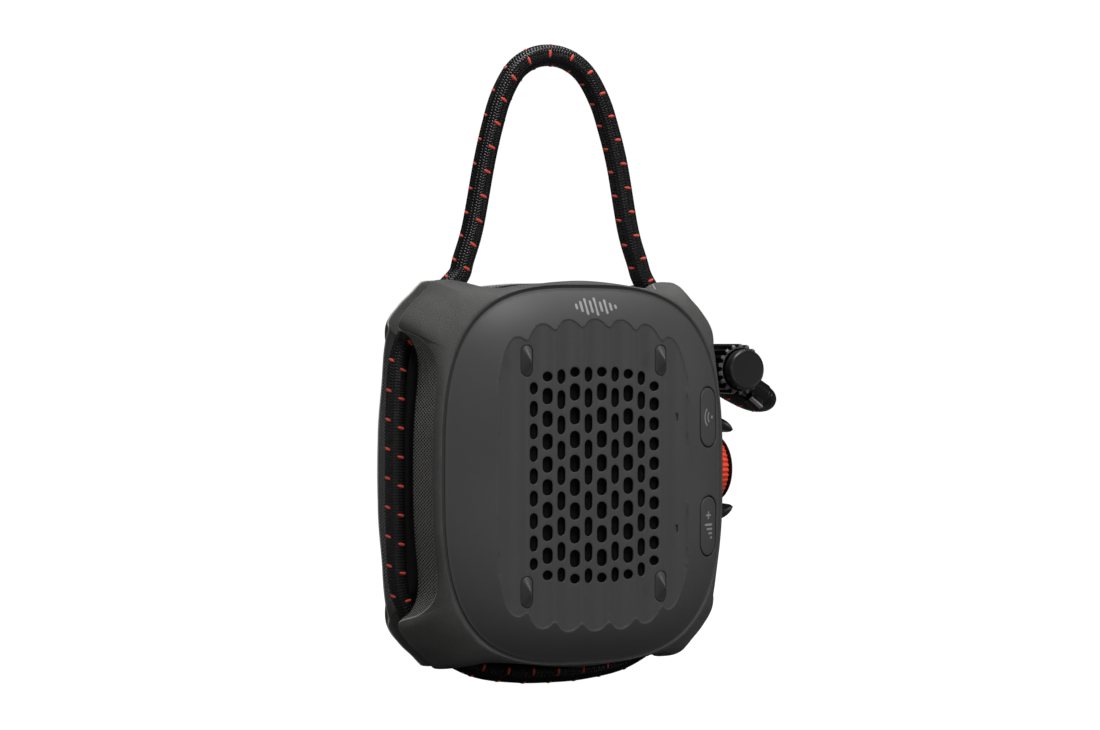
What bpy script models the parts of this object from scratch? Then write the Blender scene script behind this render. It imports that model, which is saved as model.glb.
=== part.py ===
"""A portable shower speaker: a rounded square housing with a grille on its front, hung by a bungee loop.

Metres, +Z up, the grille faces -Y. Lengths below are measured from the middle of the housing, and the
root empty lowers them all, so that the origin is the point where the loop hangs on its hook.
"""

import bmesh
import bpy
from math import atan2, ceil, cos, hypot, pi, radians, sin, sqrt, tau
from mathutils import Matrix, Vector

GAP = 0.0003  # between pieces that touch

# Overall size
PLATE_HALF = (0.0422, 0.0502)  # half width and height of the front and rear covers
DRAWN_HALF = (0.0422, 0.0502)  # the covers' size that the points of the rim and the cord are drawn for
WIDER = PLATE_HALF[0] / DRAWN_HALF[0]
TALLER = PLATE_HALF[1] / DRAWN_HALF[1]
RISE = PLATE_HALF[1] - DRAWN_HALF[1]
SIDE_X = 0.0448 * WIDER  # the side band; the dial and the cord lock are placed from here


def to_size(points):
    """Points drawn for one size of cover, stretched with the cover."""
    return [(x * WIDER, z * TALLER, *rest) for x, z, *rest in points]


# Cord and the loop it hangs by
CORD_RADIUS = 0.003
CORD_STEP = 0.0078  # between the points of a cord's tube
LOOP_PIVOT_Z = 0.0540 + RISE
HANG_Z = 0.1118 + RISE  # inner top of the loop
LOOP_DRAWN = [
    (0.0291, 0.0540),
    (0.0277, 0.0580),
    (0.0247, 0.0672),
    (0.0213, 0.0848),
    (0.0184, 0.0952),
    (0.0156, 0.1028),
    (0.0112, 0.1098),
    (0.0059, 0.1136),
    (0.0000, 0.1148),
]
LOOP_HALF_ROUTE = [(x * WIDER, z + RISE) for x, z in LOOP_DRAWN]
LEFT_ROUTE = to_size(
    [
        (-0.0315, 0.0503),
        (-0.0340, 0.0473),
        (-0.0392, 0.0427),
        (-0.0434, 0.0376),
        (-0.0460, 0.0305),
        (-0.0469, 0.0200),
        (-0.0472, 0.0000),
        (-0.0469, -0.0200),
        (-0.0460, -0.0305),
        (-0.0434, -0.0370),
        (-0.0386, -0.0432),
        (-0.0315, -0.0490),
        (-0.0220, -0.0534),
        (-0.0100, -0.0553),
        (0.0000, -0.0557),
        (0.0100, -0.0554),
        (0.0220, -0.0535),
        (0.0315, -0.0490),
        (0.0376, -0.0440),
    ]
)

# Housing
PLATE_POWER = 3.1
RING_POINTS = 88
SEAM_Y = 0.0204  # front covers' edge, from the cord's plane
SEAM_GAP = 0.0004
REAR_SEAM_Y = 0.0176
SPLIT_Y = 0.0005  # each shell's inner edge
WALL = 0.0018
SLOT_HALF = CORD_RADIUS + 0.0003  # half width of the slot between two lugs
GROOVE_HALF = 0.0050  # half width of the cord's groove along the sides
GROOVE_CLEARANCE = CORD_RADIUS + 0.0006  # from the cord's centre line to the bottom of its groove
TOP_GROOVE = 0.0014
# One quarter of the frame's rim: x, z, and how far the rim stands from the cord's plane
RIM_QUARTER = to_size(
    [
        (0.0445, 0.0000, 0.0174),
        (0.0444, 0.0075, 0.0174),
        (0.0441, 0.0150, 0.0174),
        (0.0430, 0.0270, 0.0174),
        (0.0432, 0.0325, 0.0160),
        (0.0449, 0.0368, 0.0108),
        (0.0474, 0.0391, 0.0039),
        (0.0476, 0.0411, 0.0039),
        (0.0466, 0.0431, 0.0039),
        (0.0447, 0.0453, 0.0039),
        (0.0431, 0.0470, 0.0039),
        (0.0406, 0.0492, 0.0039),
        (0.0385, 0.0513, 0.0039),
        (0.0370, 0.0523, 0.0039),
        (0.0330, 0.0525, 0.0039),
        (0.0300, 0.0520, 0.0052),
        (0.0270, 0.0506, 0.0115),
        (0.0235, 0.0502, 0.0166),
        (0.0177, 0.0507, 0.0174),
        (0.0090, 0.0518, 0.0174),
        (0.0000, 0.0523, 0.0174),
    ]
)

# Front cover
DOME_HEIGHT = 0.0081
RIDGE_Y = 0.0267  # flat field of the grille
COVER_WALL = 0.0017
COVER_RINGS = [0.6, 0.7, 0.78, 0.86, 0.93, 1.0]
COVER_INNER_RINGS = [0.6, 0.78, 1.0]
# Grille
FLUTE_PITCH = 0.0082 * WIDER
HOLE_WIDTH = 0.0027 * WIDER
HOLE_GAP = 0.00165
GRILLE_HALF_HEIGHTS = [0.0290, 0.0290, 0.0284, 0.0278, 0.0250]
LONG_ROW_COUNT = 10
SHORT_ROW_COUNT = 9
SHORT_END_SHARE = 0.77
CLOTH_SIZE = (0.0460 * WIDER, 0.0640)
STUD_CENTRE = (0.0205 * WIDER, 0.0307)
STUD_HALF = (0.0018, 0.00425)
STUD_HEIGHT = 0.0022

# Buttons on the front cover's right shoulder
BUTTON_CENTRE = (PLATE_HALF[0] - 0.0049, 0.0150)
BUTTON_WIDTH = 0.0070
BUTTON_LENGTH = 0.0163
BUTTON_DEPTH = 0.0021
BUTTON_TILT = radians(26)

# Rear cover
REAR_Y = 0.0193
REAR_ROW_COUNT = 7
REAR_ROW_PITCH = 0.0052
REAR_SLOT_WIDTH = 0.0026
REAR_VENT_RADIUS = 0.0185
VENT_CENTRE_Z = 0.0060
FOOT_PLACES = (PLATE_HALF[0] - 0.0132, PLATE_HALF[1] - 0.0137)
FOOT_RADIUS = 0.0032
FOOT_HEIGHT = 0.0009
SCREW_PLACES = (PLATE_HALF[0] - 0.0077, 0.0270 * TALLER)
SCREW_RADIUS = 0.0016
POWER_PLACE = (0.0122 - PLATE_HALF[0], 0.0000)
POWER_RADIUS = 0.0036
FLAP_CENTRE_Z = 0.0192 - PLATE_HALF[1]
FLAP_SIZE = (0.0170, 0.0090)
FLAP_THICKNESS = 0.0012
SOCKET_SIZE = (0.0090, 0.0033)

# Volume dial on the right side
DIAL_Y = -0.0020
DIAL_RADIUS = 0.0094
DIAL_BACK_X = SIDE_X + 0.0014
DIAL_FRONT_X = SIDE_X + 0.0056
DIAL_TEETH = 36
DIAL_TOOTH_DEPTH = 0.0005
DIAL_BORE = 0.0050
CAP_GAP = 0.0008
CAP_EDGE = 0.0010
CAP_DOME = 0.0008
GUARD_BACK_X = SIDE_X
GUARD_PLATE_X = SIDE_X + 0.0010
GUARD_TIP_X = SIDE_X + 0.0092
GUARD_INNER_Z = DIAL_RADIUS + 0.0006
GUARD_OUTER_Z = DIAL_RADIUS + 0.0048
GUARD_HALF_Y = 0.0062

# Cord lock
LOCK_RADIUS = 0.0070
LOCK_LOW_Z = 0.0210 * TALLER
LOCK_CENTRE = (SIDE_X + 0.0027 + LOCK_RADIUS, LOCK_LOW_Z + LOCK_RADIUS)
LOCK_OUTER_X = LOCK_CENTRE[0] + LOCK_RADIUS
LOCK_FRONT_Y = -0.0100
LOCK_BACK_Y = 0.0080
LOCK_RIBS = 18
LOCK_RIB_DEPTH = 0.0006
LOCK_BORE = 0.0046
PLUNGER_CAP_RADIUS = 0.0057
PLUNGER_CAP_DEPTH = 0.0028
LOCK_TRAVEL = 0.0025
CLIP_START = (LOCK_OUTER_X + 0.0048, -0.0036, LOCK_CENTRE[1] - 0.0042)
CLIP_END = (LOCK_OUTER_X + 0.0009, -0.0042, LOCK_CENTRE[1] - 0.0016)
CLIP_RADIUS = 0.0031
LOCK_ENTRY = (LOCK_CENTRE[0] - 0.707 * LOCK_RADIUS - 0.00095, LOCK_CENTRE[1] + 0.707 * LOCK_RADIUS + 0.00105)
RIGHT_ROUTE = [
    *to_size([(0.0315, 0.0503), (0.0340, 0.0473), (0.0389, 0.0432), (0.0440, 0.0385)]),
    LOCK_ENTRY,
]
TAIL_ROUTE = [
    (LOCK_OUTER_X - 0.0027, 0.0012, LOCK_LOW_Z - 0.0008),
    (LOCK_OUTER_X + 0.0007, 0.0020, LOCK_LOW_Z - 0.0026),
    (LOCK_OUTER_X + 0.0041, 0.0022, LOCK_LOW_Z - 0.0032),
    (LOCK_OUTER_X + 0.0069, 0.0014, LOCK_LOW_Z - 0.0024),
    (LOCK_OUTER_X + 0.0081, -0.0004, LOCK_CENTRE[1] - 0.0076),
    (LOCK_OUTER_X + 0.0075, -0.0022, LOCK_CENTRE[1] - 0.0060),
    (LOCK_OUTER_X + 0.0057, -0.0032, LOCK_CENTRE[1] - 0.0048),
]

# Driver, passive radiator and electronics inside
DRIVER_RADIUS = 0.0240
DRIVER_FRONT_Y = -0.0232
CONE_RADIUS = 0.0165
SURROUND_WIDTH = 0.0045
COIL_RADIUS = 0.0060
MAGNET_RADIUS = 0.0125
MAGNET_DEPTH = 0.0080
RADIATOR_RADIUS = 0.0120
RADIATOR_Y = 0.0158
BATTERY_SIZE = (0.0440 * WIDER, 0.0085, 0.0150)
BATTERY_CENTRE = (0.0000, 0.0030, PLATE_HALF[1] - 0.0172)
BOARD_SIZE = (0.0500 * WIDER, 0.0012, 0.0220)
BOARD_CENTRE = (0.0000, 0.0100, 0.0192 - PLATE_HALF[1])

COLOURS = {
    "graphite": ((0.060, 0.060, 0.060), 0.48, 0.0),
    "frame_grey": ((0.075, 0.075, 0.073), 0.62, 0.0),
    "black_cord": ((0.010, 0.010, 0.010), 0.75, 0.0),
    "black": ((0.014, 0.014, 0.014), 0.38, 0.0),
    "red": ((0.800, 0.060, 0.025), 0.45, 0.0),
    "mesh": ((0.020, 0.020, 0.020), 0.85, 0.0),
    "rubber": ((0.018, 0.018, 0.018), 0.80, 0.0),
    "paper": ((0.050, 0.048, 0.045), 0.70, 0.0),
    "copper": ((0.700, 0.320, 0.180), 0.30, 1.0),
    "steel": ((0.560, 0.560, 0.570), 0.30, 1.0),
    "green": ((0.030, 0.160, 0.060), 0.50, 0.0),
    "foil": ((0.150, 0.180, 0.260), 0.45, 0.0),
}


# Scene


def clear_scene():
    for obj in list(bpy.data.objects):
        bpy.data.objects.remove(obj, do_unlink=True)


def make_collection(name, hidden=False):
    collection = bpy.data.collections.new(name)
    collection.hide_render = hidden
    bpy.context.scene.collection.children.link(collection)
    return collection


def material(name):
    found = bpy.data.materials.get(name)
    if found:
        return found
    colour, roughness, metallic = COLOURS[name]
    made = bpy.data.materials.new(name)
    made.use_nodes = True
    shader = made.node_tree.nodes["Principled BSDF"]
    shader.inputs["Base Color"].default_value = (*colour, 1.0)
    shader.inputs["Roughness"].default_value = roughness
    shader.inputs["Metallic"].default_value = metallic
    return made


class Assembly:
    """The collections and the root empty that every piece hangs from."""

    def __init__(self):
        self.pieces = make_collection("shower_speaker")
        self.cutters = make_collection("cutters", hidden=True)
        self.root = bpy.data.objects.new("hang_point", None)
        self.root.location.z = -HANG_Z
        self.pieces.objects.link(self.root)

    def add(self, name, mesh, finish, location=(0, 0, 0), rotation=(0, 0, 0), parent=None):
        obj = bpy.data.objects.new(name, mesh)
        obj.location = location
        obj.rotation_euler = rotation
        obj.parent = parent or self.root
        mesh.materials.append(material(finish))
        self.pieces.objects.link(obj)
        return obj

    def add_turned(self, name, profile, finish, parent=None, rotation=(0, 0, 0), steps=24):
        return screw(self.add(name, turned(name, profile), finish, (0, 0, 0), rotation, parent), steps)

    def cutter(self, name, mesh, location=(0, 0, 0), rotation=(0, 0, 0)):
        obj = bpy.data.objects.new(name, mesh)
        obj.location = location
        obj.rotation_euler = rotation
        obj.parent = self.root
        obj.hide_render = True
        obj.display_type = "WIRE"
        self.cutters.objects.link(obj)
        return obj

    def empty(self, name, location, rotation=(0, 0, 0)):
        obj = bpy.data.objects.new(name, None)
        obj.location = location
        obj.rotation_euler = rotation
        obj.parent = self.root
        self.pieces.objects.link(obj)
        return obj


def boolean(obj, other, operation="DIFFERENCE"):
    modifier = obj.modifiers.new(other.name, "BOOLEAN")
    modifier.object = other
    modifier.operation = operation
    modifier.solver = "EXACT"


def bevel(obj, width, segments=1):
    modifier = obj.modifiers.new("edges", "BEVEL")
    modifier.width = width
    modifier.segments = segments
    modifier.limit_method = "ANGLE"
    modifier.angle_limit = radians(40)


def smooth(mesh, angle=35):
    mesh.shade_smooth()
    mesh.set_sharp_from_angle(angle=radians(angle))
    return mesh


# Meshes


def mesh_from(name, build):
    shape = bmesh.new()
    build(shape)
    bmesh.ops.recalc_face_normals(shape, faces=shape.faces)
    mesh = bpy.data.meshes.new(name)
    shape.to_mesh(mesh)
    shape.free()
    return smooth(mesh)


def sweep(shape, loops, low, high, axis):
    """Fills flat loops of (u, v) points and extrudes them from low to high along an axis."""

    def point(u, v, along):
        return {"X": (along, u, v), "Y": (u, along, v), "Z": (u, v, along)}[axis]

    edges = []
    for loop in loops:
        verts = [shape.verts.new(point(u, v, low)) for u, v in loop]
        edges += [shape.edges.new(pair) for pair in zip(verts, verts[1:] + verts[:1])]
    filled = bmesh.ops.triangle_fill(shape, use_beauty=True, use_dissolve=False, edges=edges)
    faces = [item for item in filled["geom"] if isinstance(item, bmesh.types.BMFace)]
    swept = bmesh.ops.extrude_face_region(shape, geom=faces, use_keep_orig=True)
    offset = Vector(point(0, 0, high)) - Vector(point(0, 0, low))
    moved = [item for item in swept["geom"] if isinstance(item, bmesh.types.BMVert)]
    bmesh.ops.translate(shape, vec=offset, verts=moved)


def prism(name, outline, low, high, axis="Y", holes=()):
    """A flat outline, with any holes in it, swept along an axis; its points are in X, Y, Z order."""
    return mesh_from(name, lambda shape: sweep(shape, [outline, *holes], low, high, axis))


def circle(radius, count, centre=(0, 0)):
    return [
        (centre[0] + radius * cos(tau * k / count), centre[1] + radius * sin(tau * k / count))
        for k in range(count)
    ]


def obround(width, height, centre=(0, 0), steps=3):
    """A pill outline whose round ends have the given number of steps each; a square size gives a circle."""
    tall = height >= width
    radius = min(width, height) / 2
    reach = max(width, height) / 2 - radius
    points = []
    for side in (1, -1):
        for k in range(steps + 1):
            turn = pi * k / steps + (0 if side == 1 else pi)
            if tall:
                points.append((radius * cos(turn), radius * sin(turn) + side * reach))
            else:
                points.append((radius * sin(turn) + side * reach, -radius * cos(turn)))
    merged = [p for p, q in zip(points, points[1:] + points[:1]) if hypot(p[0] - q[0], p[1] - q[1]) > 1e-6]
    return [(centre[0] + u, centre[1] + v) for u, v in merged]


def toothed(radius, depth, teeth):
    """A knurled outline: each tooth has a flat top and a flat valley."""
    points = []
    for k in range(teeth):
        for share, drop in ((0.05, 0), (0.45, 0), (0.60, depth), (0.90, depth)):
            turn = tau * (k + share) / teeth
            points.append(((radius - drop) * cos(turn), (radius - drop) * sin(turn)))
    return points


def clockwise(profile):
    """The profile in the order that makes a turned surface face outwards: down along its outer side."""
    area = sum(p[0] * q[1] - q[0] * p[1] for p, q in zip(profile, [*profile[1:], profile[0]]))
    return list(reversed(profile)) if area > 0 else list(profile)


def turned(name, profile):
    """A profile of (radius, height) points as a wire in the XZ plane, closed unless it ends on the axis."""
    ordered = clockwise(profile)
    mesh = bpy.data.meshes.new(name)
    edges = [(k, k + 1) for k in range(len(ordered) - 1)]
    if min(radius for radius, _ in ordered) > 0:
        edges.append((len(ordered) - 1, 0))
    mesh.from_pydata([(radius, 0.0, height) for radius, height in ordered], edges, [])
    return mesh


def screw(obj, steps=32):
    """Turns the object's profile about its Z axis."""
    modifier = obj.modifiers.new("turn", "SCREW")
    modifier.axis = "Z"
    modifier.steps = steps
    modifier.render_steps = steps
    modifier.use_merge_vertices = True
    modifier.merge_threshold = 0.00001
    modifier.use_smooth_shade = True
    return obj


def box(name, size):
    def build(shape):
        bmesh.ops.create_cube(shape, size=1.0, matrix=Matrix.Diagonal((*size, 1.0)))

    return mesh_from(name, build)


def ring_loft(name, rings, closed):
    """Rings of equally many points joined in order; closed joins the last to the first, otherwise both are capped."""

    def build(shape):
        rows = [[shape.verts.new(point) for point in ring] for ring in rings]
        pairs = list(zip(rows, rows[1:]))
        if closed:
            pairs.append((rows[-1], rows[0]))
        count = len(rings[0])
        for low, high in pairs:
            for k in range(count):
                shape.faces.new((low[k], low[(k + 1) % count], high[(k + 1) % count], high[k]))
        if not closed:
            for row in (rows[0], rows[-1]):
                shape.faces.new(row)

    return mesh_from(name, build)


# Curves


def smooth_route(points, step):
    """Points at most one step apart on a smooth curve through the given ones."""
    knots = [Vector(point) for point in points]
    padded = [2 * knots[0] - knots[1], *knots, 2 * knots[-1] - knots[-2]]
    dense = []
    for before, start, end, after in zip(padded, padded[1:], padded[2:], padded[3:]):
        for k in range(24):
            t = k / 24
            dense.append(
                0.5
                * (
                    2 * start
                    + (end - before) * t
                    + (2 * before - 5 * start + 4 * end - after) * t**2
                    + (3 * start - before - 3 * end + after) * t**3
                )
            )
    dense.append(knots[-1])
    lengths = [0.0]
    for first, second in zip(dense, dense[1:]):
        lengths.append(lengths[-1] + (second - first).length)
    count = ceil(lengths[-1] / step)
    found = []
    spot = 0
    for k in range(count + 1):
        wanted = lengths[-1] * k / count
        while spot < len(lengths) - 2 and lengths[spot + 1] < wanted:
            spot += 1
        share = (wanted - lengths[spot]) / (lengths[spot + 1] - lengths[spot])
        found.append(dense[spot].lerp(dense[spot + 1], min(share, 1.0)))
    return found


def in_cord_plane(route):
    return [(x, 0.0, z) for x, z in route]


def tube(assembly, name, points, radius, finish, parent=None, origin=(0, 0, 0)):
    curve = bpy.data.curves.new(name, "CURVE")
    curve.dimensions = "3D"
    curve.bevel_depth = radius
    curve.bevel_resolution = 2
    curve.use_fill_caps = True
    spline = curve.splines.new("POLY")
    spline.points.add(len(points) - 1)
    for place, point in zip(spline.points, points):
        place.co = (*(Vector(point) - Vector(origin)), 1.0)
    obj = bpy.data.objects.new(name, curve)
    obj.location = origin
    obj.parent = parent or assembly.root
    curve.materials.append(material(finish))
    assembly.pieces.objects.link(obj)
    return obj


# Housing outlines


def ellipse_radius(turn, half, power=PLATE_POWER):
    return ((abs(cos(turn)) / half[0]) ** power + (abs(sin(turn)) / half[1]) ** power) ** (-1 / power)


def ring_turns():
    """Directions around the housing, closer together at its corners."""
    turns = []
    for k in range(RING_POINTS):
        t = tau * k / RING_POINTS
        x = PLATE_HALF[0] * abs(cos(t)) ** (2 / PLATE_POWER) * (1 if cos(t) >= 0 else -1)
        z = PLATE_HALF[1] * abs(sin(t)) ** (2 / PLATE_POWER) * (1 if sin(t) >= 0 else -1)
        turns.append(atan2(z, x) % tau)
    return turns


def ray_hit(points, turn):
    """Where the ray in a direction meets the line through (x, z, ...) points, with the rest read along it."""
    ray = (cos(turn), sin(turn))
    for start, end in zip(points, points[1:]):
        low = ray[0] * start[1] - ray[1] * start[0]
        high = ray[0] * end[1] - ray[1] * end[0]
        if low * high <= 0 and low != high and ray[0] * start[0] + ray[1] * start[1] > 0:
            share = low / (low - high)
            return [a + share * (b - a) for a, b in zip(start, end)]
    return None


def rim(turn):
    """Radius of the frame's rim, and its distance from the cord's plane."""
    x, z, stand = ray_hit(RIM_QUARTER, atan2(abs(sin(turn)), abs(cos(turn))))
    return hypot(x, z), stand


def groove_half(turn):
    """Half width of the groove: wide along the sides, narrow between the lugs."""
    standing = rim(turn)[1]
    share = min(1.0, max(0.0, (standing - 0.0045) / 0.012))
    return SLOT_HALF + share * (GROOVE_HALF - SLOT_HALF)


def groove_bottom(turn, cord):
    """Radius of the groove's bottom: under the cord where it lies, shallow across the top."""
    shallow = rim(turn)[0] - TOP_GROOVE
    found = ray_hit(cord, pi - turn if cos(turn) > 0 else turn)
    if found:
        return hypot(*found) - GROOVE_CLEARANCE
    root = atan2(LEFT_ROUTE[0][1], -LEFT_ROUTE[0][0])
    share = (abs(turn - pi / 2) / (pi / 2 - root) - 0.62) / 0.25
    blend = min(1.0, max(0.0, share))
    return shallow + blend * (min(hypot(*LEFT_ROUTE[0]) - GROOVE_CLEARANCE, shallow) - shallow)


def at(turn, radius, y):
    return (radius * cos(turn), y, radius * sin(turn))


# Shells


def shell_mesh(name, side, seam_y):
    """Half of the housing; side is -1 for the front one and +1 for the rear one."""
    cord = [(point.x, point.z) for point in smooth_route(in_cord_plane(LEFT_ROUTE), 0.002)]
    turns = ring_turns()
    rings = [[] for _ in range(9)]
    for turn in turns:
        plate = ellipse_radius(turn, PLATE_HALF)
        radius, stand = rim(turn)
        bottom = groove_bottom(turn, cord)
        half = groove_half(turn)
        inner = min(bottom, plate) - WALL
        section = [
            (plate + SEAM_GAP, seam_y),
            (radius, min(stand, seam_y - 0.002)),
            (radius, half),
            (bottom, half),
            (bottom, SPLIT_Y),
            (inner, SPLIT_Y),
            (inner, seam_y - 0.0052),
            (plate - 0.0030, seam_y - 0.0032),
            (plate + SEAM_GAP, seam_y - 0.0032),
        ]
        for ring, (distance, y) in zip(rings, section):
            ring.append(at(turn, distance, side * y))
    return ring_loft(name, rings, closed=True)


def gasket_mesh():
    cord = [(point.x, point.z) for point in smooth_route(in_cord_plane(LEFT_ROUTE), 0.002)]
    rings = [[] for _ in range(4)]
    thickness = SPLIT_Y - GAP
    for turn in ring_turns()[::2]:
        bottom = min(groove_bottom(turn, cord), ellipse_radius(turn, PLATE_HALF)) - 0.0002
        for ring, (inset, y) in zip(
            rings, ((0.0003, -thickness), (0.0003, thickness), (0.0015, thickness), (0.0015, -thickness))
        ):
            ring.append(at(turn, bottom - inset, y))
    return ring_loft("shell_gasket", rings, closed=True)


def make_shells(assembly):
    assembly.add("front_shell", shell_mesh("front_shell", -1, SEAM_Y), "frame_grey")
    assembly.add("rear_shell", shell_mesh("rear_shell", 1, REAR_SEAM_Y), "frame_grey")
    assembly.add("shell_gasket", gasket_mesh(), "rubber")


# Front cover, grille and buttons


def dome_y(x, z, height=DOME_HEIGHT, top=RIDGE_Y):
    """How far the front cover stands out at a place: a soft dome cut flat at the grille's field."""
    u, v = x / PLATE_HALF[0], z / PLATE_HALF[1]
    spread = u * u + v * v
    if spread < 1e-9:
        return top
    reach = (abs(u) ** PLATE_POWER + abs(v) ** PLATE_POWER) ** (1 / PLATE_POWER)
    power = 3 + 3 * v * v / spread
    return min(SEAM_Y + height * (1 - min(reach, 1.0) ** power), top)


def cover_mesh():
    turns = ring_turns()

    def dome_ring(share, inset, depth):
        ring = []
        for turn in turns:
            radius = ellipse_radius(turn, PLATE_HALF) * share
            x, z = radius * cos(turn), radius * sin(turn)
            shrunk = 1 - inset / radius
            ring.append((x * shrunk, depth - dome_y(x, z), z * shrunk))
        return ring

    outer = [dome_ring(share, 0, 0) for share in COVER_RINGS]
    inner = [dome_ring(share, COVER_WALL if share == 1.0 else 0, COVER_WALL) for share in COVER_INNER_RINGS]
    skirt = [at(turn, ellipse_radius(turn, PLATE_HALF), -(SEAM_Y - 0.0028)) for turn in turns]
    skirt_inner = [
        at(turn, ellipse_radius(turn, PLATE_HALF) - COVER_WALL, -(SEAM_Y - 0.0028)) for turn in turns
    ]
    return ring_loft("front_cover", [*outer, skirt, skirt_inner, *reversed(inner)], closed=False)


def grille_holes():
    """Every hole of the grille as an outline in X, Z."""
    outlines = []
    for column in range(10):
        x = (column - 4.5) * FLUTE_PITCH / 2
        reach = GRILLE_HALF_HEIGHTS[int(abs(column - 4.5))]
        if column % 2:
            middle = (2 * reach - 2 * HOLE_WIDTH - (LONG_ROW_COUNT - 1) * HOLE_GAP) / (LONG_ROW_COUNT - 2)
            lengths = [HOLE_WIDTH, *[middle] * (LONG_ROW_COUNT - 2), HOLE_WIDTH]
        else:
            middle = (2 * reach - (SHORT_ROW_COUNT - 1) * HOLE_GAP) / (SHORT_ROW_COUNT - 2 + 2 * SHORT_END_SHARE)
            lengths = [middle * SHORT_END_SHARE, *[middle] * (SHORT_ROW_COUNT - 2), middle * SHORT_END_SHARE]
        low = -reach
        for length in lengths:
            outlines.append(obround(HOLE_WIDTH, length, (x, low + length / 2)))
            low += length + HOLE_GAP
    return outlines


def hole_cutter(assembly, name, outlines, low, high):
    """One cutter that holds many separate prisms along Y."""

    def build(shape):
        for outline in outlines:
            sweep(shape, [outline], low, high, "Y")

    return assembly.cutter(name, mesh_from(name, build))


def button_place(side):
    x, z = BUTTON_CENTRE[0], side * BUTTON_CENTRE[1]
    return (x, -dome_y(x, z), z)


def make_front_cover(assembly):
    cover = assembly.add("front_cover", cover_mesh(), "graphite")
    boolean(cover, hole_cutter(assembly, "grille_cutter", grille_holes(), -RIDGE_Y - 0.003, -RIDGE_Y + 0.004))
    pill = obround(BUTTON_WIDTH + 2 * GAP, BUTTON_LENGTH + 2 * GAP, steps=8)
    for label, side in (("wireless", 1), ("boost", -1)):
        pocket = prism(f"{label}_pocket", pill, -0.004, 0.006)
        boolean(
            cover, assembly.cutter(f"{label}_pocket", pocket, button_place(side), (0, 0, BUTTON_TILT))
        )
        outline = obround(BUTTON_WIDTH, BUTTON_LENGTH, steps=8)
        button = prism(f"{label}_button", outline, 0, BUTTON_DEPTH)
        assembly.add(f"{label}_button", button, "graphite", button_place(side), (0, 0, BUTTON_TILT))


def make_grille_parts(assembly):
    cloth = obround(*CLOTH_SIZE, steps=8)
    assembly.add(
        "grille_mesh", prism("grille_mesh", cloth, 0, 0.0004), "mesh", (0, -RIDGE_Y + COVER_WALL + GAP, 0)
    )
    number = 0
    for side_x in (-1, 1):
        for side_z in (-1, 1):
            number += 1
            base = obround(2 * STUD_HALF[0], 2 * STUD_HALF[1], steps=4)
            low = [(x, 0.0, z) for x, z in base]
            high = [(0.25 * x, -STUD_HEIGHT, 0.45 * z) for x, z in base]
            name = f"grille_stud_{number}"
            place = (side_x * STUD_CENTRE[0], -RIDGE_Y - GAP, side_z * STUD_CENTRE[1])
            assembly.add(name, ring_loft(name, [low, high], closed=False), "graphite", place)


# Rear cover


def rear_cover_mesh():
    shares = [0.86, 0.94, 1.0]
    heights = [REAR_Y, REAR_Y - 0.0005, REAR_SEAM_Y]
    turns = ring_turns()
    outer, inner = [], []
    for share, height in zip(shares, heights):
        outer.append([at(turn, ellipse_radius(turn, PLATE_HALF) * share, height) for turn in turns])
        inset = COVER_WALL if share == 1.0 else 0
        inner.append(
            [at(turn, ellipse_radius(turn, PLATE_HALF) * share - inset, height - COVER_WALL) for turn in turns]
        )
    skirt_y = REAR_SEAM_Y - 0.0028
    skirt = [at(turn, ellipse_radius(turn, PLATE_HALF), skirt_y) for turn in turns]
    skirt_inner = [at(turn, ellipse_radius(turn, PLATE_HALF) - COVER_WALL, skirt_y) for turn in turns]
    return ring_loft("rear_cover", [*outer, skirt, skirt_inner, *reversed(inner)], closed=False)


def rear_openings():
    """Vent slots, screw holes, the power button's hole and the flap's opening."""
    outlines = []
    for row in range(REAR_ROW_COUNT):
        z = (row - (REAR_ROW_COUNT - 1) / 2) * REAR_ROW_PITCH
        width = 2 * sqrt(REAR_VENT_RADIUS**2 - z * z)
        outlines.append(obround(width, REAR_SLOT_WIDTH, (0, z + VENT_CENTRE_Z)))
    for x in (-SCREW_PLACES[0], SCREW_PLACES[0]):
        for z in (-SCREW_PLACES[1], SCREW_PLACES[1]):
            outlines.append(circle(SCREW_RADIUS + GAP, 12, (x, z)))
    outlines.append(circle(POWER_RADIUS + GAP, 20, POWER_PLACE))
    outlines.append(obround(FLAP_SIZE[0] + 2 * GAP, FLAP_SIZE[1] + 2 * GAP, (0, FLAP_CENTRE_Z), steps=6))
    return outlines


def make_rear_cover(assembly):
    cover = assembly.add("rear_cover", rear_cover_mesh(), "graphite")
    boolean(cover, hole_cutter(assembly, "rear_cutter", rear_openings(), REAR_Y - 0.004, REAR_Y + 0.003))
    number = 0
    for x in (-FOOT_PLACES[0], FOOT_PLACES[0]):
        for z in (-FOOT_PLACES[1], FOOT_PLACES[1]):
            number += 1
            foot = prism(f"rear_foot_{number}", circle(FOOT_RADIUS, 20), 0, FOOT_HEIGHT)
            assembly.add(f"rear_foot_{number}", foot, "rubber", (x, REAR_Y + GAP, z))
    number = 0
    for x in (-SCREW_PLACES[0], SCREW_PLACES[0]):
        for z in (-SCREW_PLACES[1], SCREW_PLACES[1]):
            number += 1
            screw = prism(f"cover_screw_{number}", circle(SCREW_RADIUS, 12), -0.0060, -0.0004)
            assembly.add(f"cover_screw_{number}", screw, "steel", (x, REAR_Y, z))
    power = prism("power_button", circle(POWER_RADIUS, 20), -0.0022, 0.0004)
    assembly.add("power_button", power, "graphite", (POWER_PLACE[0], REAR_Y, POWER_PLACE[1]))


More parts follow.
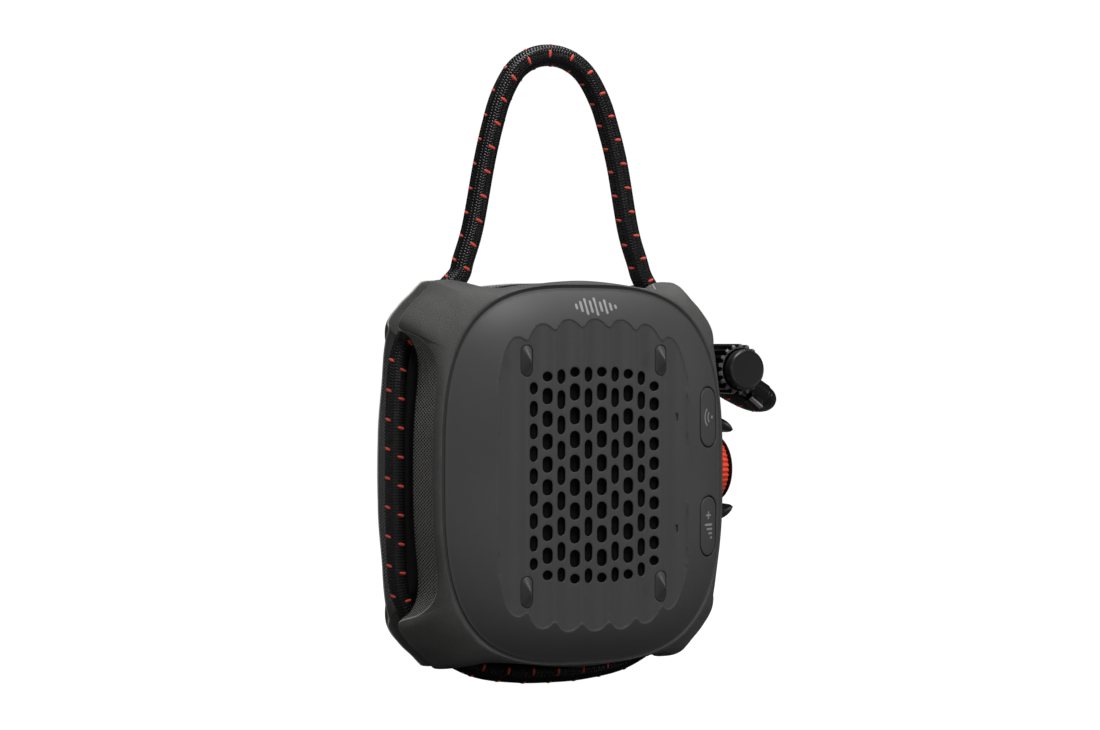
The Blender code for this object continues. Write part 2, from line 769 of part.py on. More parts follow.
def make_port(assembly):
    """The flap turns about its lower outer edge, so that its inner corner swings into the opening."""
    hinge_z = FLAP_CENTRE_Z - FLAP_SIZE[1] / 2
    outline = obround(FLAP_SIZE[0], FLAP_SIZE[1], (0, FLAP_SIZE[1] / 2), steps=6)
    flap = prism("port_cover", outline, -FLAP_THICKNESS, 0)
    assembly.add("port_cover", flap, "rubber", (0, REAR_Y, hinge_z))
    wall = 0.0005
    outer = obround(SOCKET_SIZE[0], SOCKET_SIZE[1], steps=5)
    hole = obround(SOCKET_SIZE[0] - 2 * wall, SOCKET_SIZE[1] - 2 * wall, steps=5)
    socket = prism("usb_socket", outer, 0, 0.0060, holes=[hole])
    assembly.add("usb_socket", socket, "steel", (0, 0.0112, FLAP_CENTRE_Z))


# Dial and its guard


def make_dial(assembly):
    guard = assembly.add("dial_guard", guard_mesh(), "black", (0, DIAL_Y, 0))
    bore = prism("guard_bore", circle(DIAL_BORE - 0.0015, 20), GUARD_BACK_X - 0.001, GUARD_PLATE_X + 0.001, "X")
    boolean(guard, assembly.cutter("guard_bore", bore, (0, DIAL_Y, 0)))
    dial_axis = assembly.empty("dial_axis", (DIAL_BACK_X, DIAL_Y, 0))
    knurl = toothed(DIAL_RADIUS, DIAL_TOOTH_DEPTH, DIAL_TEETH)
    dial = prism(
        "volume_dial", knurl, 0, DIAL_FRONT_X - DIAL_BACK_X, "X", holes=[circle(DIAL_BORE, 24)]
    )
    assembly.add("volume_dial", dial, "red", parent=dial_axis)
    shaft = prism("dial_shaft", circle(DIAL_BORE - 0.0018, 16), -0.0012, 0.0022, "X")
    assembly.add("dial_shaft", shaft, "steel", parent=dial_axis)
    back = DIAL_FRONT_X - DIAL_BACK_X + CAP_GAP
    profile = [
        (0, back + CAP_EDGE + CAP_DOME),
        (DIAL_RADIUS * 0.55, back + CAP_EDGE + CAP_DOME * 0.75),
        (DIAL_RADIUS - 0.0006, back + CAP_EDGE),
        (DIAL_RADIUS - 0.0001, back + CAP_EDGE / 2),
        (DIAL_RADIUS - 0.0006, back),
        (DIAL_BORE - 0.0010, back),
        (DIAL_BORE - 0.0010, back - 0.0022),
        (0, back - 0.0022),
    ]
    assembly.add_turned("dial_cap", profile, "black", dial_axis, (0, radians(90), 0))


def guard_mesh():
    """A base plate with a hooked fin above and below the dial, swept along Y."""
    fin = [
        (GUARD_PLATE_X, GUARD_INNER_Z),
        (GUARD_TIP_X - 0.0010, GUARD_INNER_Z),
        (GUARD_TIP_X, GUARD_INNER_Z + 0.0006),
        (GUARD_TIP_X - 0.0006, GUARD_INNER_Z + 0.0018),
        (GUARD_TIP_X - 0.0026, GUARD_INNER_Z + 0.0031),
        (GUARD_TIP_X - 0.0054, GUARD_OUTER_Z - 0.0002),
        (GUARD_BACK_X, GUARD_OUTER_Z),
    ]
    below = [(x, -z) for x, z in reversed(fin)]
    return prism("dial_guard", [*fin, *below], -GUARD_HALF_Y, GUARD_HALF_Y)


# Cord lock


def make_lock(assembly):
    lock_axis = assembly.empty("lock_axis", (LOCK_CENTRE[0], 0, LOCK_CENTRE[1]))
    ribs = toothed(LOCK_RADIUS, LOCK_RIB_DEPTH, LOCK_RIBS)
    barrel = prism("lock_barrel", ribs, LOCK_FRONT_Y, LOCK_BACK_Y, holes=[circle(LOCK_BORE, 20)])
    assembly.add("lock_barrel", barrel, "black", parent=lock_axis)
    plug = prism("lock_plug", circle(LOCK_BORE - GAP, 20), LOCK_BACK_Y - 0.0024, LOCK_BACK_Y - 0.0004)
    assembly.add("lock_plug", plug, "black", parent=lock_axis)
    front = -LOCK_FRONT_Y + LOCK_TRAVEL + GAP
    profile = [
        (0, front + PLUNGER_CAP_DEPTH),
        (PLUNGER_CAP_RADIUS - 0.0007, front + PLUNGER_CAP_DEPTH),
        (PLUNGER_CAP_RADIUS, front + PLUNGER_CAP_DEPTH - 0.0007),
        (PLUNGER_CAP_RADIUS, front),
        (LOCK_BORE - GAP, front),
        (LOCK_BORE - GAP, front - 0.0120),
        (0, front - 0.0120),
    ]
    assembly.add_turned("lock_plunger", profile, "black", lock_axis, (radians(90), 0, 0))
    start, end = Vector(CLIP_START), Vector(CLIP_END)
    tube(assembly, "cord_end_clip", [start, end], CLIP_RADIUS, "black")


# Cord


def make_cord(assembly):
    left_half = [(-x, z) for x, z in LOOP_HALF_ROUTE]
    whole = in_cord_plane([*left_half, *reversed(LOOP_HALF_ROUTE[:-1])])
    pivot = (0, 0, LOOP_PIVOT_Z)
    tube(assembly, "carry_loop", smooth_route(whole, CORD_STEP), CORD_RADIUS, "black_cord", origin=pivot)
    left = smooth_route(in_cord_plane(LEFT_ROUTE), CORD_STEP)
    tube(assembly, "cord_run", left, CORD_RADIUS, "black_cord")
    right = smooth_route(in_cord_plane(RIGHT_ROUTE), CORD_STEP)
    tube(assembly, "cord_right", right, CORD_RADIUS, "black_cord")
    tail = smooth_route(TAIL_ROUTE, CORD_STEP / 3)
    tube(assembly, "cord_tail", tail, CORD_RADIUS, "black_cord")


# Inside


def make_driver(assembly):
    """The driver looks out through the grille; its pieces are turned about Y."""
    facing = assembly.empty("driver_axis", (0, DRIVER_FRONT_Y, 0), (radians(-90), 0, 0))
    cone_depth = 0.0060
    basket = [
        (DRIVER_RADIUS, 0.0),
        (DRIVER_RADIUS, 0.0015),
        (MAGNET_RADIUS + 0.0015, 0.0100),
        (MAGNET_RADIUS + 0.0015, 0.0112),
        (COIL_RADIUS + 0.0006, 0.0112),
        (COIL_RADIUS + 0.0006, 0.0100),
        (MAGNET_RADIUS - 0.0010, 0.0100),
        (CONE_RADIUS + SURROUND_WIDTH + GAP, 0.0022),
        (CONE_RADIUS + SURROUND_WIDTH + GAP, 0.0),
    ]
    assembly.add_turned("driver_basket", basket, "steel", facing)
    magnet = [
        (0, 0.0115 + MAGNET_DEPTH - 0.0030),
        (COIL_RADIUS + 0.0005, 0.0115 + MAGNET_DEPTH - 0.0030),
        (COIL_RADIUS + 0.0005, 0.0115),
        (MAGNET_RADIUS, 0.0115),
        (MAGNET_RADIUS, 0.0115 + MAGNET_DEPTH),
        (0, 0.0115 + MAGNET_DEPTH),
    ]
    assembly.add_turned("driver_magnet", magnet, "steel", facing)
    roll = [(CONE_RADIUS + GAP + SURROUND_WIDTH * k / 4, -0.0010 * sin(pi * k / 4)) for k in range(5)]
    surround = roll + [(radius, height + 0.0008) for radius, height in reversed(roll)]
    surround = [(radius - (GAP if radius > CONE_RADIUS + SURROUND_WIDTH else 0), h) for radius, h in surround]
    assembly.add_turned("driver_surround", surround, "rubber", facing)
    cone = [
        (CONE_RADIUS, 0.0004),
        (COIL_RADIUS, cone_depth),
        (COIL_RADIUS - 0.0004, cone_depth - 0.0002),
        (CONE_RADIUS - 0.0004, -0.0002),
    ]
    assembly.add_turned("driver_cone", cone, "paper", facing)
    coil = [
        (COIL_RADIUS, cone_depth + GAP),
        (COIL_RADIUS, 0.0145),
        (COIL_RADIUS - 0.0004, 0.0145),
        (COIL_RADIUS - 0.0004, cone_depth + GAP),
    ]
    assembly.add_turned("voice_coil", coil, "copper", facing)
    dust = [(0, 0.0022), (COIL_RADIUS * 0.6, 0.0030), (COIL_RADIUS - 0.0009, 0.0048)]
    dust += [(COIL_RADIUS - 0.0013, 0.0048), (COIL_RADIUS * 0.58, 0.0035), (0, 0.0028)]
    assembly.add_turned("dust_cap", dust, "paper", facing)


def make_radiator(assembly):
    """A passive radiator behind the rear vents."""
    facing = assembly.empty("radiator_axis", (0, RADIATOR_Y, VENT_CENTRE_Z), (radians(-90), 0, 0))
    plate = [(0, -0.0012), (RADIATOR_RADIUS, -0.0012), (RADIATOR_RADIUS, 0.0), (0, 0.0)]
    assembly.add_turned("radiator_plate", plate, "steel", facing)
    roll = [(RADIATOR_RADIUS + GAP + SURROUND_WIDTH * k / 4, -0.0008 * sin(pi * k / 4)) for k in range(5)]
    surround = roll + [(radius, height - 0.0008) for radius, height in reversed(roll)]
    assembly.add_turned("radiator_surround", surround, "rubber", facing)
    inner = RADIATOR_RADIUS + SURROUND_WIDTH + 2 * GAP
    frame = [(inner, -0.0016), (inner + 0.0040, -0.0016), (inner + 0.0040, 0.0002), (inner, 0.0002)]
    assembly.add_turned("radiator_frame", frame, "black", facing)


def make_electronics(assembly):
    battery = assembly.add("battery", box("battery", BATTERY_SIZE), "foil", BATTERY_CENTRE)
    bevel(battery, 0.0018)
    assembly.add("main_board", box("main_board", BOARD_SIZE), "green", BOARD_CENTRE)


def main():
    clear_scene()
    assembly = Assembly()
    make_shells(assembly)
    make_front_cover(assembly)
    make_grille_parts(assembly)
    make_rear_cover(assembly)
    make_port(assembly)
    make_dial(assembly)
    make_lock(assembly)
    make_cord(assembly)
    make_driver(assembly)
    make_radiator(assembly)
    make_electronics(assembly)


main()
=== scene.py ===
"""Looks for a portable shower speaker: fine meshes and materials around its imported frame.

The file is laid out as an add-on and run as a script. Lengths are in metres, measured from the middle of the
housing, and every piece is lowered to the frame's own height. The grille faces -Y.
"""

from math import atan2, cos, pi, radians, sin, sqrt, tau

import bmesh
import bpy
import numpy as np
from bpy.props import FloatProperty, FloatVectorProperty, PointerProperty
from mathutils import Matrix, Vector
from mathutils.geometry import delaunay_2d_cdt


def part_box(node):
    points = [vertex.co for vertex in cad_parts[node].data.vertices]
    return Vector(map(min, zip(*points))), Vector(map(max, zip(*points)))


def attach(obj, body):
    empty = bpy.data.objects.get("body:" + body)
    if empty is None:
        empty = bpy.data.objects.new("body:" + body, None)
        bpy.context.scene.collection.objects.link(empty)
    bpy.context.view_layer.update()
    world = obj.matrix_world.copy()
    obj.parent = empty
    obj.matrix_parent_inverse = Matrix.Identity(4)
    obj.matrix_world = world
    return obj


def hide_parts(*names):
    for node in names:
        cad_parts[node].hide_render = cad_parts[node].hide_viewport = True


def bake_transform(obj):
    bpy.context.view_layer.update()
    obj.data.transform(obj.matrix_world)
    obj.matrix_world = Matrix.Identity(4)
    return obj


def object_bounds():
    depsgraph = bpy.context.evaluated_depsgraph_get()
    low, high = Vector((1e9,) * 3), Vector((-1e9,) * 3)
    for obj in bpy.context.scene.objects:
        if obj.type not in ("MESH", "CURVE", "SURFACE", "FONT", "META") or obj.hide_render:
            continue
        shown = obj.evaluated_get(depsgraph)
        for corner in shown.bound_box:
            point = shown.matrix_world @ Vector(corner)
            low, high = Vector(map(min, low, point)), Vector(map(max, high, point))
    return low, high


bl_info = {
    "name": "Shower speaker",
    "version": (1, 0, 0),
    "blender": (4, 5, 0),
    "location": "3D View > Sidebar > Speaker",
    "description": "Builds a portable speaker with a slotted grille, a volume dial and a bungee loop",
    "category": "Add Mesh",
}

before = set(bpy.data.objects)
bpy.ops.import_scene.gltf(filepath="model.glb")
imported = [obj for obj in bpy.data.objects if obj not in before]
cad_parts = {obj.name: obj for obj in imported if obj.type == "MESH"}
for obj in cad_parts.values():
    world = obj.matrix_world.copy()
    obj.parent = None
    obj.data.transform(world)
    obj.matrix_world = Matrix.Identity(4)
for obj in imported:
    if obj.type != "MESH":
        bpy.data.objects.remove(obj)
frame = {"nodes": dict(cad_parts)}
CAD_BOX = [list(corner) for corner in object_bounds()]

SHELL_LOW, SHELL_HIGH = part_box("front_shell")
MIDDLE_Z = (SHELL_LOW.z + SHELL_HIGH.z) / 2
DIAL_LOW, DIAL_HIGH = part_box("volume_dial")
CAP_LOW, CAP_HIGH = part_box("dial_cap")
GUARD_LOW, GUARD_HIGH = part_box("dial_guard")
BARREL_LOW, BARREL_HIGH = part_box("lock_barrel")
PLUNGER_LOW, PLUNGER_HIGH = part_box("lock_plunger")

# Outlines of the housing, as in the frame
PLATE_HALF = (0.0422, 0.0502)
PLATE_POWER = 3.1
SEAM_Y = 0.0204
REAR_SEAM_Y = 0.0188
REAR_RIM_Y = 0.0173
SLOT_HALF = 0.0033
GROOVE_HALF = 0.0050
GROOVE_CLEARANCE = 0.0036
TOP_GROOVE = 0.0014
RIM_QUARTER = [
    (0.0445, 0.0000, 0.0174), (0.0444, 0.0075, 0.0174), (0.0441, 0.0150, 0.0174), (0.0430, 0.0270, 0.0174),
    (0.0432, 0.0325, 0.0160), (0.0449, 0.0368, 0.0108), (0.0474, 0.0391, 0.0039), (0.0476, 0.0411, 0.0039),
    (0.0466, 0.0431, 0.0039), (0.0447, 0.0453, 0.0039), (0.0431, 0.0470, 0.0039), (0.0406, 0.0492, 0.0039),
    (0.0385, 0.0513, 0.0039), (0.0370, 0.0523, 0.0039), (0.0330, 0.0525, 0.0039), (0.0300, 0.0520, 0.0052),
    (0.0270, 0.0506, 0.0115), (0.0235, 0.0502, 0.0166), (0.0177, 0.0507, 0.0174), (0.0090, 0.0518, 0.0174),
    (0.0000, 0.0523, 0.0174),
]
RIM_STEPS = 8
RIM_ROUND = 0.00045  # radius of the rim's edge
SEAM_DEPTH = 0.00025
SEAM_LIP = 0.0002
BAND_SINK = 0.00030  # how far the side bands lie under the rim
LUG_STAND = 0.0060  # the rim stands lower than this on the corner lugs
WEAVE_STRETCH = 1.9  # a diamond's width across the band, as a share of its height

# Front cover
DOME_HEIGHT = 0.0081
RIDGE_Y = 0.0267
FLUTE_PITCH = 0.0082
FLUTE_DEPTH = 0.00095
FIELD_SAG = 0.00054  # how far the field of flutes falls towards its outer flutes
FLUTE_STEP = 0.00016  # the small step down from the dome into the flutes
FLUTE_LIP = 0.00006
COVER_STEP = 0.00050
FINE_STEP = 0.00019  # along the flutes' ends
PRINT_STEP = 0.00022
COVER_EDGE = 0.0003  # radius of the covers' outer edge
COVER_SKIRT = 0.0022  # how far a cover reaches down behind its seam
POINT_SPACE = 0.00022  # room between a hole's rim and the cover's inner points
HOLE_WIDTH = 0.0027
HOLE_GAP = 0.00165
HOLE_RIM = 0.00013
HOLE_DEPTH = 0.0008
LIT_DEPTH = 0.00022  # depth of the walls' top in the cover's colour; below it they are painted black, as the shade inside the holes
GRILLE_HALF_HEIGHTS = [0.0290, 0.0290, 0.0284, 0.0278, 0.0250]
STUD_CENTRE = (0.0205, 0.0307)
STUD_SIZE = (0.0036, 0.0085)
BUTTON_CENTRE = (0.0373, 0.0150)
BUTTON_SIZE = (0.0067, 0.0163)
BUTTON_GAP = 0.00028
PINHOLE_CENTRE = (0.0258, 0.0152)
PINHOLE_SIZE = (0.0007, 0.0022)

# Back
REAR_Y = 0.0193
REAR_EDGE_Y = 0.0180
REAR_FLAT = 0.86
REAR_STEP = 0.0012
REAR_GAP = 0.0003
REAR_ROWS = 7
REAR_ROW_PITCH = 0.0052
REAR_SLOT_WIDTH = 0.0026
REAR_VENT_RADIUS = 0.0185
VENT_CENTRE_Z = 0.0060
FOOT_PLACES = (0.0290, 0.0365)
FOOT_RADIUS = 0.0032
FOOT_HEIGHT = 0.0009
SCREW_PLACES = (0.0345, 0.0270)
SCREW_RADIUS = 0.0016
POWER_PLACE = (-0.0300, 0.0000)
POWER_RADIUS = 0.0036
FLAP_CENTRE_Z = -0.0310
FLAP_SIZE = (0.0170, 0.0090)

# Dial
CAP_EDGE = 0.0011
CAP_TRAVEL = 0.00062  # room for the cap's press

# Lock
BARREL_RADIUS = 0.0072
BARREL_BORE = 0.0048
TAB_PLACE = (0.0637, -0.0052, 0.0198)

# Cord
CORD_RADIUS = 0.0030
BRAID_STRANDS = 14
ROUTE_STEP = 0.00015  # between the rings of a cord
TRACER_RISE = 0.00022
TRACER_SINK = 0.00003  # how far a tracer's ends lie in the sheath
TRACER_LEAN = 0.00022
LOOP_HALF_ROUTE = [
    (0.0291, 0.0540), (0.0277, 0.0580), (0.0247, 0.0672), (0.0213, 0.0848), (0.0184, 0.0952),
    (0.0156, 0.1028), (0.0112, 0.1098), (0.0059, 0.1136), (0.0000, 0.1148),
]
LOOP_LEFT_ROUTE = [
    (-0.0280, 0.0540), (-0.0267, 0.0580), (-0.0238, 0.0672), (-0.0203, 0.0848), (-0.0177, 0.0952),
    (-0.0152, 0.1028), (-0.0111, 0.1098), (-0.0059, 0.1136),
]
LEFT_ROUTE = [
    (-0.0315, 0.0503), (-0.0340, 0.0473), (-0.0392, 0.0427), (-0.0434, 0.0376), (-0.0460, 0.0305),
    (-0.0469, 0.0200), (-0.0472, 0.0000), (-0.0469, -0.0200), (-0.0460, -0.0305), (-0.0434, -0.0370),
    (-0.0386, -0.0432), (-0.0315, -0.0490), (-0.0220, -0.0534), (-0.0100, -0.0553), (0.0000, -0.0557),
    (0.0100, -0.0554), (0.0220, -0.0535), (0.0315, -0.0490), (0.0376, -0.0440),
]
RIGHT_ROUTE = [
    (0.0315, 0.0503), (0.0340, 0.0473), (0.0389, 0.0432), (0.0440, 0.0385), (0.0486, 0.0340), (0.0515, 0.0313),
]
TAIL_ROUTE = [
    (0.0555, 0.0030, 0.0243), (0.0584, 0.0030, 0.0226), (0.0625, 0.0030, 0.0206), (0.0660, 0.0029, 0.0192),
    (0.0683, 0.0022, 0.0186), (0.0696, 0.0004, 0.0187), (0.0692, -0.0018, 0.0193), (0.0679, -0.0031, 0.0201),
    (0.0662, -0.0034, 0.0211), (0.0640, -0.0034, 0.0224),
]
SLEEVE_ROUTE = [(0.0674, -0.0033, 0.0204), (0.0650, -0.0034, 0.0218), (0.0590, -0.0036, 0.0253)]


# Sizes and colours


def length_setting(name, description, default):
    return FloatProperty(name=name, description=description, default=default, unit="LENGTH")


def colour_setting(name, description, default):
    return FloatVectorProperty(name=name, description=description, default=default, subtype="COLOR")


class CordSettings(bpy.types.PropertyGroup):
    """Sizes and colours of the bungee cord."""

    radius: length_setting("Radius", "Radius of the cord", CORD_RADIUS)
    braid_pitch: length_setting("Braid pitch", "Length of one turn of the braid's pattern", 0.00078)
    tracer_length: length_setting("Tracer length", "Length of a red tracer across the cord", 0.0024)
    tracer_width: length_setting("Tracer width", "Width of a red tracer", 0.00085)
    sheath: colour_setting("Sheath", "Colour of the sheath", (0.0045, 0.0045, 0.0045))
    tracer: colour_setting("Tracer", "Colour of the tracer threads", (0.78, 0.062, 0.030))


class HousingSettings(bpy.types.PropertyGroup):
    """Sizes and colours of the covers, frame and side bands."""

    seam: length_setting("Seam", "Width of the gap round the covers", 0.00075)
    weave_pitch: length_setting("Weave pitch", "Distance between the lines of the side bands", 0.00096)
    cover: colour_setting("Cover", "Colour of the covers", (0.058, 0.058, 0.058))
    frame: colour_setting("Frame", "Colour of the rubber frame", (0.078, 0.078, 0.076))
    band: colour_setting("Band", "Colour of the side bands between their lines", (0.0025, 0.0025, 0.0025))
    line: colour_setting("Line", "Colour of the raised lines of the side bands", (0.42, 0.415, 0.405))
    mark: colour_setting("Print", "Colour of the printed marks", (0.30, 0.30, 0.30))


class ControlSettings(bpy.types.PropertyGroup):
    """Colours of the dial, its guard and the cord lock."""

    dial: colour_setting("Dial", "Colour of the volume dial", (0.96, 0.088, 0.040))
    black: colour_setting("Black", "Colour of the guard, lock and caps", (0.016, 0.016, 0.016))


def settings():
    return bpy.context.scene.speaker


class SpeakerSettings(bpy.types.PropertyGroup):
    """Everything that can be set on the speaker."""

    cord: PointerProperty(type=CordSettings)
    housing: PointerProperty(type=HousingSettings)
    controls: PointerProperty(type=ControlSettings)


# Materials


class Finish:
    """A material with a Principled shader and short ways to add nodes to it."""

    def __init__(self, name, colour, roughness, metallic=0.0, sheen=0.0, specular=0.35):
        self.material = bpy.data.materials.new(name)
        self.material.use_nodes = True
        self.nodes = self.material.node_tree.nodes
        self.links = self.material.node_tree.links
        self.shader = self.nodes["Principled BSDF"]
        for socket, value in (
            ("Base Color", (*colour, 1.0)),
            ("Roughness", roughness),
            ("Metallic", metallic),
            ("Sheen Weight", sheen),
            ("Specular IOR Level", specular),
        ):
            self.shader.inputs[socket].default_value = value

    def node(self, kind, inputs=(), **values):
        made = self.nodes.new(f"ShaderNode{kind}")
        for name, value in values.items():
            setattr(made, name, value)
        for name, value in dict(inputs).items():
            if isinstance(value, bpy.types.NodeSocket):
                self.links.new(value, made.inputs[name])
            else:
                made.inputs[name].default_value = value
        return made

    def math(self, operation, first, second=0.0):
        return self.node("Math", {0: first, 1: second}, operation=operation).outputs[0]

    def place(self, kind="Object"):
        return self.node("TexCoord").outputs[kind]

    def noise(self, size, detail=2.0, roughness=0.5):
        inputs = {"Vector": self.place(), "Scale": 1 / size, "Detail": detail, "Roughness": roughness}
        return self.node("TexNoise", inputs).outputs["Fac"]

    def streaks(self, kind, scale, detail):
        """Noise that is stretched along one direction of the given coordinates."""
        stretched = self.node("Mapping", {"Vector": self.place(kind), "Scale": scale}).outputs[0]
        return self.node("TexNoise", {"Vector": stretched, "Scale": 1.0, "Detail": detail}).outputs["Fac"]

    def ramp(self, factor, low, high, start=0.0, end=1.0):
        inputs = {"Value": factor, "From Min": start, "From Max": end, "To Min": low, "To Max": high}
        return self.node("MapRange", inputs).outputs[0]

    def mix(self, factor, first, second):
        made = self.node("Mix", data_type="RGBA")
        for socket, value in zip((made.inputs[0], made.inputs[6], made.inputs[7]), (factor, first, second)):
            if isinstance(value, bpy.types.NodeSocket):
                self.links.new(value, socket)
            else:
                socket.default_value = value if socket == made.inputs[0] else (*value[:3], 1.0)
        return made.outputs[2]

    def colour(self, socket):
        self.links.new(socket, self.shader.inputs["Base Color"])

    def roughness(self, socket):
        self.links.new(socket, self.shader.inputs["Roughness"])

    def bump(self, height, distance):
        made = self.node("Bump", {"Height": height, "Distance": distance, "Strength": 1.0})
        previous = self.shader.inputs["Normal"].links
        if previous:
            self.links.new(previous[0].from_socket, made.inputs["Normal"])
        self.links.new(made.outputs["Normal"], self.shader.inputs["Normal"])


def scaled(colour, share):
    return tuple(min(1.0, channel * share) for channel in colour)


def shared(name):
    """Marks a finish that is made once; every piece that asks for it gets the same material."""

    def mark(build):
        return lambda: bpy.data.materials.get(name) or build(name)

    return mark


def moulded_finish(name, colour, roughness, grain, height, mottle=0.12, specular=0.35):
    """Moulded plastic or rubber: a spark-eroded grain, faint mottling and uneven gloss."""
    found = bpy.data.materials.get(name)
    if found:
        return found
    finish = Finish(name, colour, roughness, specular=specular)
    fine = finish.noise(grain, 3.0, 0.6)
    coarse = finish.noise(grain * 40, 2.0)
    tone = finish.mix(fine, scaled(colour, 1 - mottle * 1.6), scaled(colour, 1 + mottle * 1.6))
    cloudy = finish.mix(coarse, scaled(colour, 1 - mottle), scaled(colour, 1 + mottle))
    finish.colour(finish.mix(0.5, tone, cloudy))
    finish.roughness(finish.ramp(fine, roughness - 0.07, roughness + 0.09))
    finish.bump(fine, height)
    return finish.material


@shared("side_band_weave")
def weave_finish(name):
    """The side bands: raised lines that cross in flat diamonds over a near-black ground."""
    housing = settings().housing
    finish = Finish(name, housing.band, 0.62, specular=0.15)
    place = finish.node("SeparateXYZ", {"Vector": finish.place("UV")})
    along, across = place.outputs[0], place.outputs[1]
    lines = []
    narrow = finish.math("MULTIPLY", across, 1 / WEAVE_STRETCH)
    for operation in ("ADD", "SUBTRACT"):
        turned = finish.math("MULTIPLY", finish.math(operation, along, narrow), pi / housing.weave_pitch)
        wave = finish.math("ABSOLUTE", finish.math("COSINE", turned))
        lines.append(finish.math("POWER", wave, 11.0))
    height = finish.math("MAXIMUM", *lines)
    knots = finish.math("MINIMUM", *lines)
    speckle = finish.noise(0.0009, 2.0)
    level = finish.math("MULTIPLY", height, finish.ramp(speckle, 0.45, 1.3))
    dark = finish.mix(level, housing.band, housing.line)
    finish.colour(finish.mix(finish.math("MULTIPLY", knots, 0.35), dark, scaled(housing.line, 1.6)))
    finish.roughness(finish.ramp(level, 0.75, 0.5))
    finish.bump(height, 0.00012)
    return finish.material


@shared("cord_braid")
def braid_finish(name):
    """The cord's sheath: tight ribs of thread that run almost straight round the cord."""
    cord = settings().cord
    finish = Finish(name, cord.sheath, 0.34, specular=0.30)
    place = finish.node("SeparateXYZ", {"Vector": finish.place("UV")})
    around = finish.math("SINE", finish.math("MULTIPLY", place.outputs[0], BRAID_STRANDS * tau))
    along = finish.math("MULTIPLY", place.outputs[1], pi / cord.braid_pitch)
    waved = finish.math("ADD", along, finish.math("MULTIPLY", around, 0.6))
    ribs = finish.math("ABSOLUTE", finish.math("SINE", waved))
    strands = finish.math("ABSOLUTE", around)
    height = finish.math("ADD", ribs, finish.math("MULTIPLY", strands, 0.15))
    fibre = finish.streaks("UV", (30, 9000, 1), 2.0)
    # Painted shade: the sheath's colour is much darker in the troughs between the ribs than on their crests.
    tone = finish.mix(ribs, scaled(cord.sheath, 0.05), scaled(cord.sheath, 1.8))
    finish.colour(finish.mix(finish.ramp(fibre, 0.0, 0.5), tone, scaled(cord.sheath, 0.8)))
    finish.roughness(finish.ramp(ribs, 0.75, 0.20, 0.3, 0.8))
    finish.bump(height, 0.00020)
    finish.bump(fibre, 0.00001)
    return finish.material


@shared("tracer_thread")
def thread_finish(name):
    """The red tracer threads: a bundle of fine filaments."""
    colour = settings().cord.tracer
    finish = Finish(name, colour, 0.5, sheen=0.3)
    filaments = finish.noise(0.00022, 2.0)
    finish.colour(finish.mix(filaments, scaled(colour, 0.7), scaled(colour, 1.25)))
    finish.bump(filaments, 0.00004)
    return finish.material


@shared("acoustic_cloth")
def knit_finish(name):
    """Acoustic cloth behind the grille: a fine knit of dark round stitches."""
    colour = (0.003, 0.003, 0.003)
    finish = Finish(name, colour, 0.9, sheen=0.02, specular=0.1)
    cells = finish.node("TexVoronoi", {"Vector": finish.place(), "Scale": 2200.0})
    near = finish.ramp(cells.outputs["Distance"], 1.0, 0.2, 0.0, 0.7)
    finish.colour(finish.mix(near, scaled(colour, 0.3), scaled(colour, 2.2)))
    finish.bump(near, 0.0001)
    return finish.material


def metal_finish(name, colour, roughness):
    """Turned or rolled metal with fine drawn lines."""
    found = bpy.data.materials.get(name)
    if found:
        return found
    finish = Finish(name, colour, roughness, metallic=1.0)
    lines = finish.streaks("Object", (200, 200, 9000), 3.0)
    finish.colour(finish.mix(lines, scaled(colour, 0.85), scaled(colour, 1.1)))
    finish.roughness(finish.ramp(lines, roughness - 0.08, roughness + 0.12))
    finish.bump(lines, 0.00001)
    return finish.material


@shared("cone_paper")
def paper_finish(name):
    """Pressed paper of the cone: long matted fibres."""
    colour = (0.050, 0.048, 0.045)
    finish = Finish(name, colour, 0.85)
    fibres = finish.noise(0.0006, 6.0, 0.8)
    finish.colour(finish.mix(fibres, scaled(colour, 0.6), scaled(colour, 1.5)))
    finish.bump(fibres, 0.0001)
    return finish.material


def cover_finish():
    return moulded_finish("cover_plastic", settings().housing.cover, 0.50, 0.00014, 0.000012, 0.10)


def frame_finish():
    return moulded_finish("frame_rubber", settings().housing.frame, 0.52, 0.00023, 0.00024, 0.48)


# Painted shade: the floor of the gap round the covers is coloured darker than the frame, as the shade in the
# gap.
def seam_shade_finish():
    return moulded_finish("seam_painted_shade", (0.042, 0.042, 0.042), 0.6, 0.0003, 0.00003, 0.12)


def rim_highlight_finish():
    """The frame's rim, glossier than the rest, its colour painted much lighter as a painted highlight along the
    edge.
    """
    return moulded_finish("frame_edge_painted_highlight", scaled(settings().housing.frame, 6.0), 0.38, 0.0004, 0.00002, 0.1)


def black_finish():
    return moulded_finish("black_plastic", settings().controls.black, 0.34, 0.00018, 0.000014, 0.12)


def gloss_finish():
    colour = scaled(settings().controls.black, 0.4)
    return moulded_finish("gloss_black_plastic", colour, 0.27, 0.0002, 0.000010, 0.1)


# Painted shadow: near-black for the deep part of each hole's wall.
def shadow_finish():
    return moulded_finish("hole_painted_shadow", (0.001, 0.001, 0.001), 0.9, 0.0003, 0.00001, 0.1, 0.06)


def groove_finish():
    return moulded_finish("groove_rubber", (0.006, 0.006, 0.006), 0.7, 0.0003, 0.00003, 0.15, 0.2)


# Print colour for the marks, also used as the painted highlight on the cord clip's lip.
def print_and_highlight_finish():
    return moulded_finish("print_and_painted_highlight", settings().housing.mark, 0.45, 0.0002, 0.000004, 0.05)


# Meshes


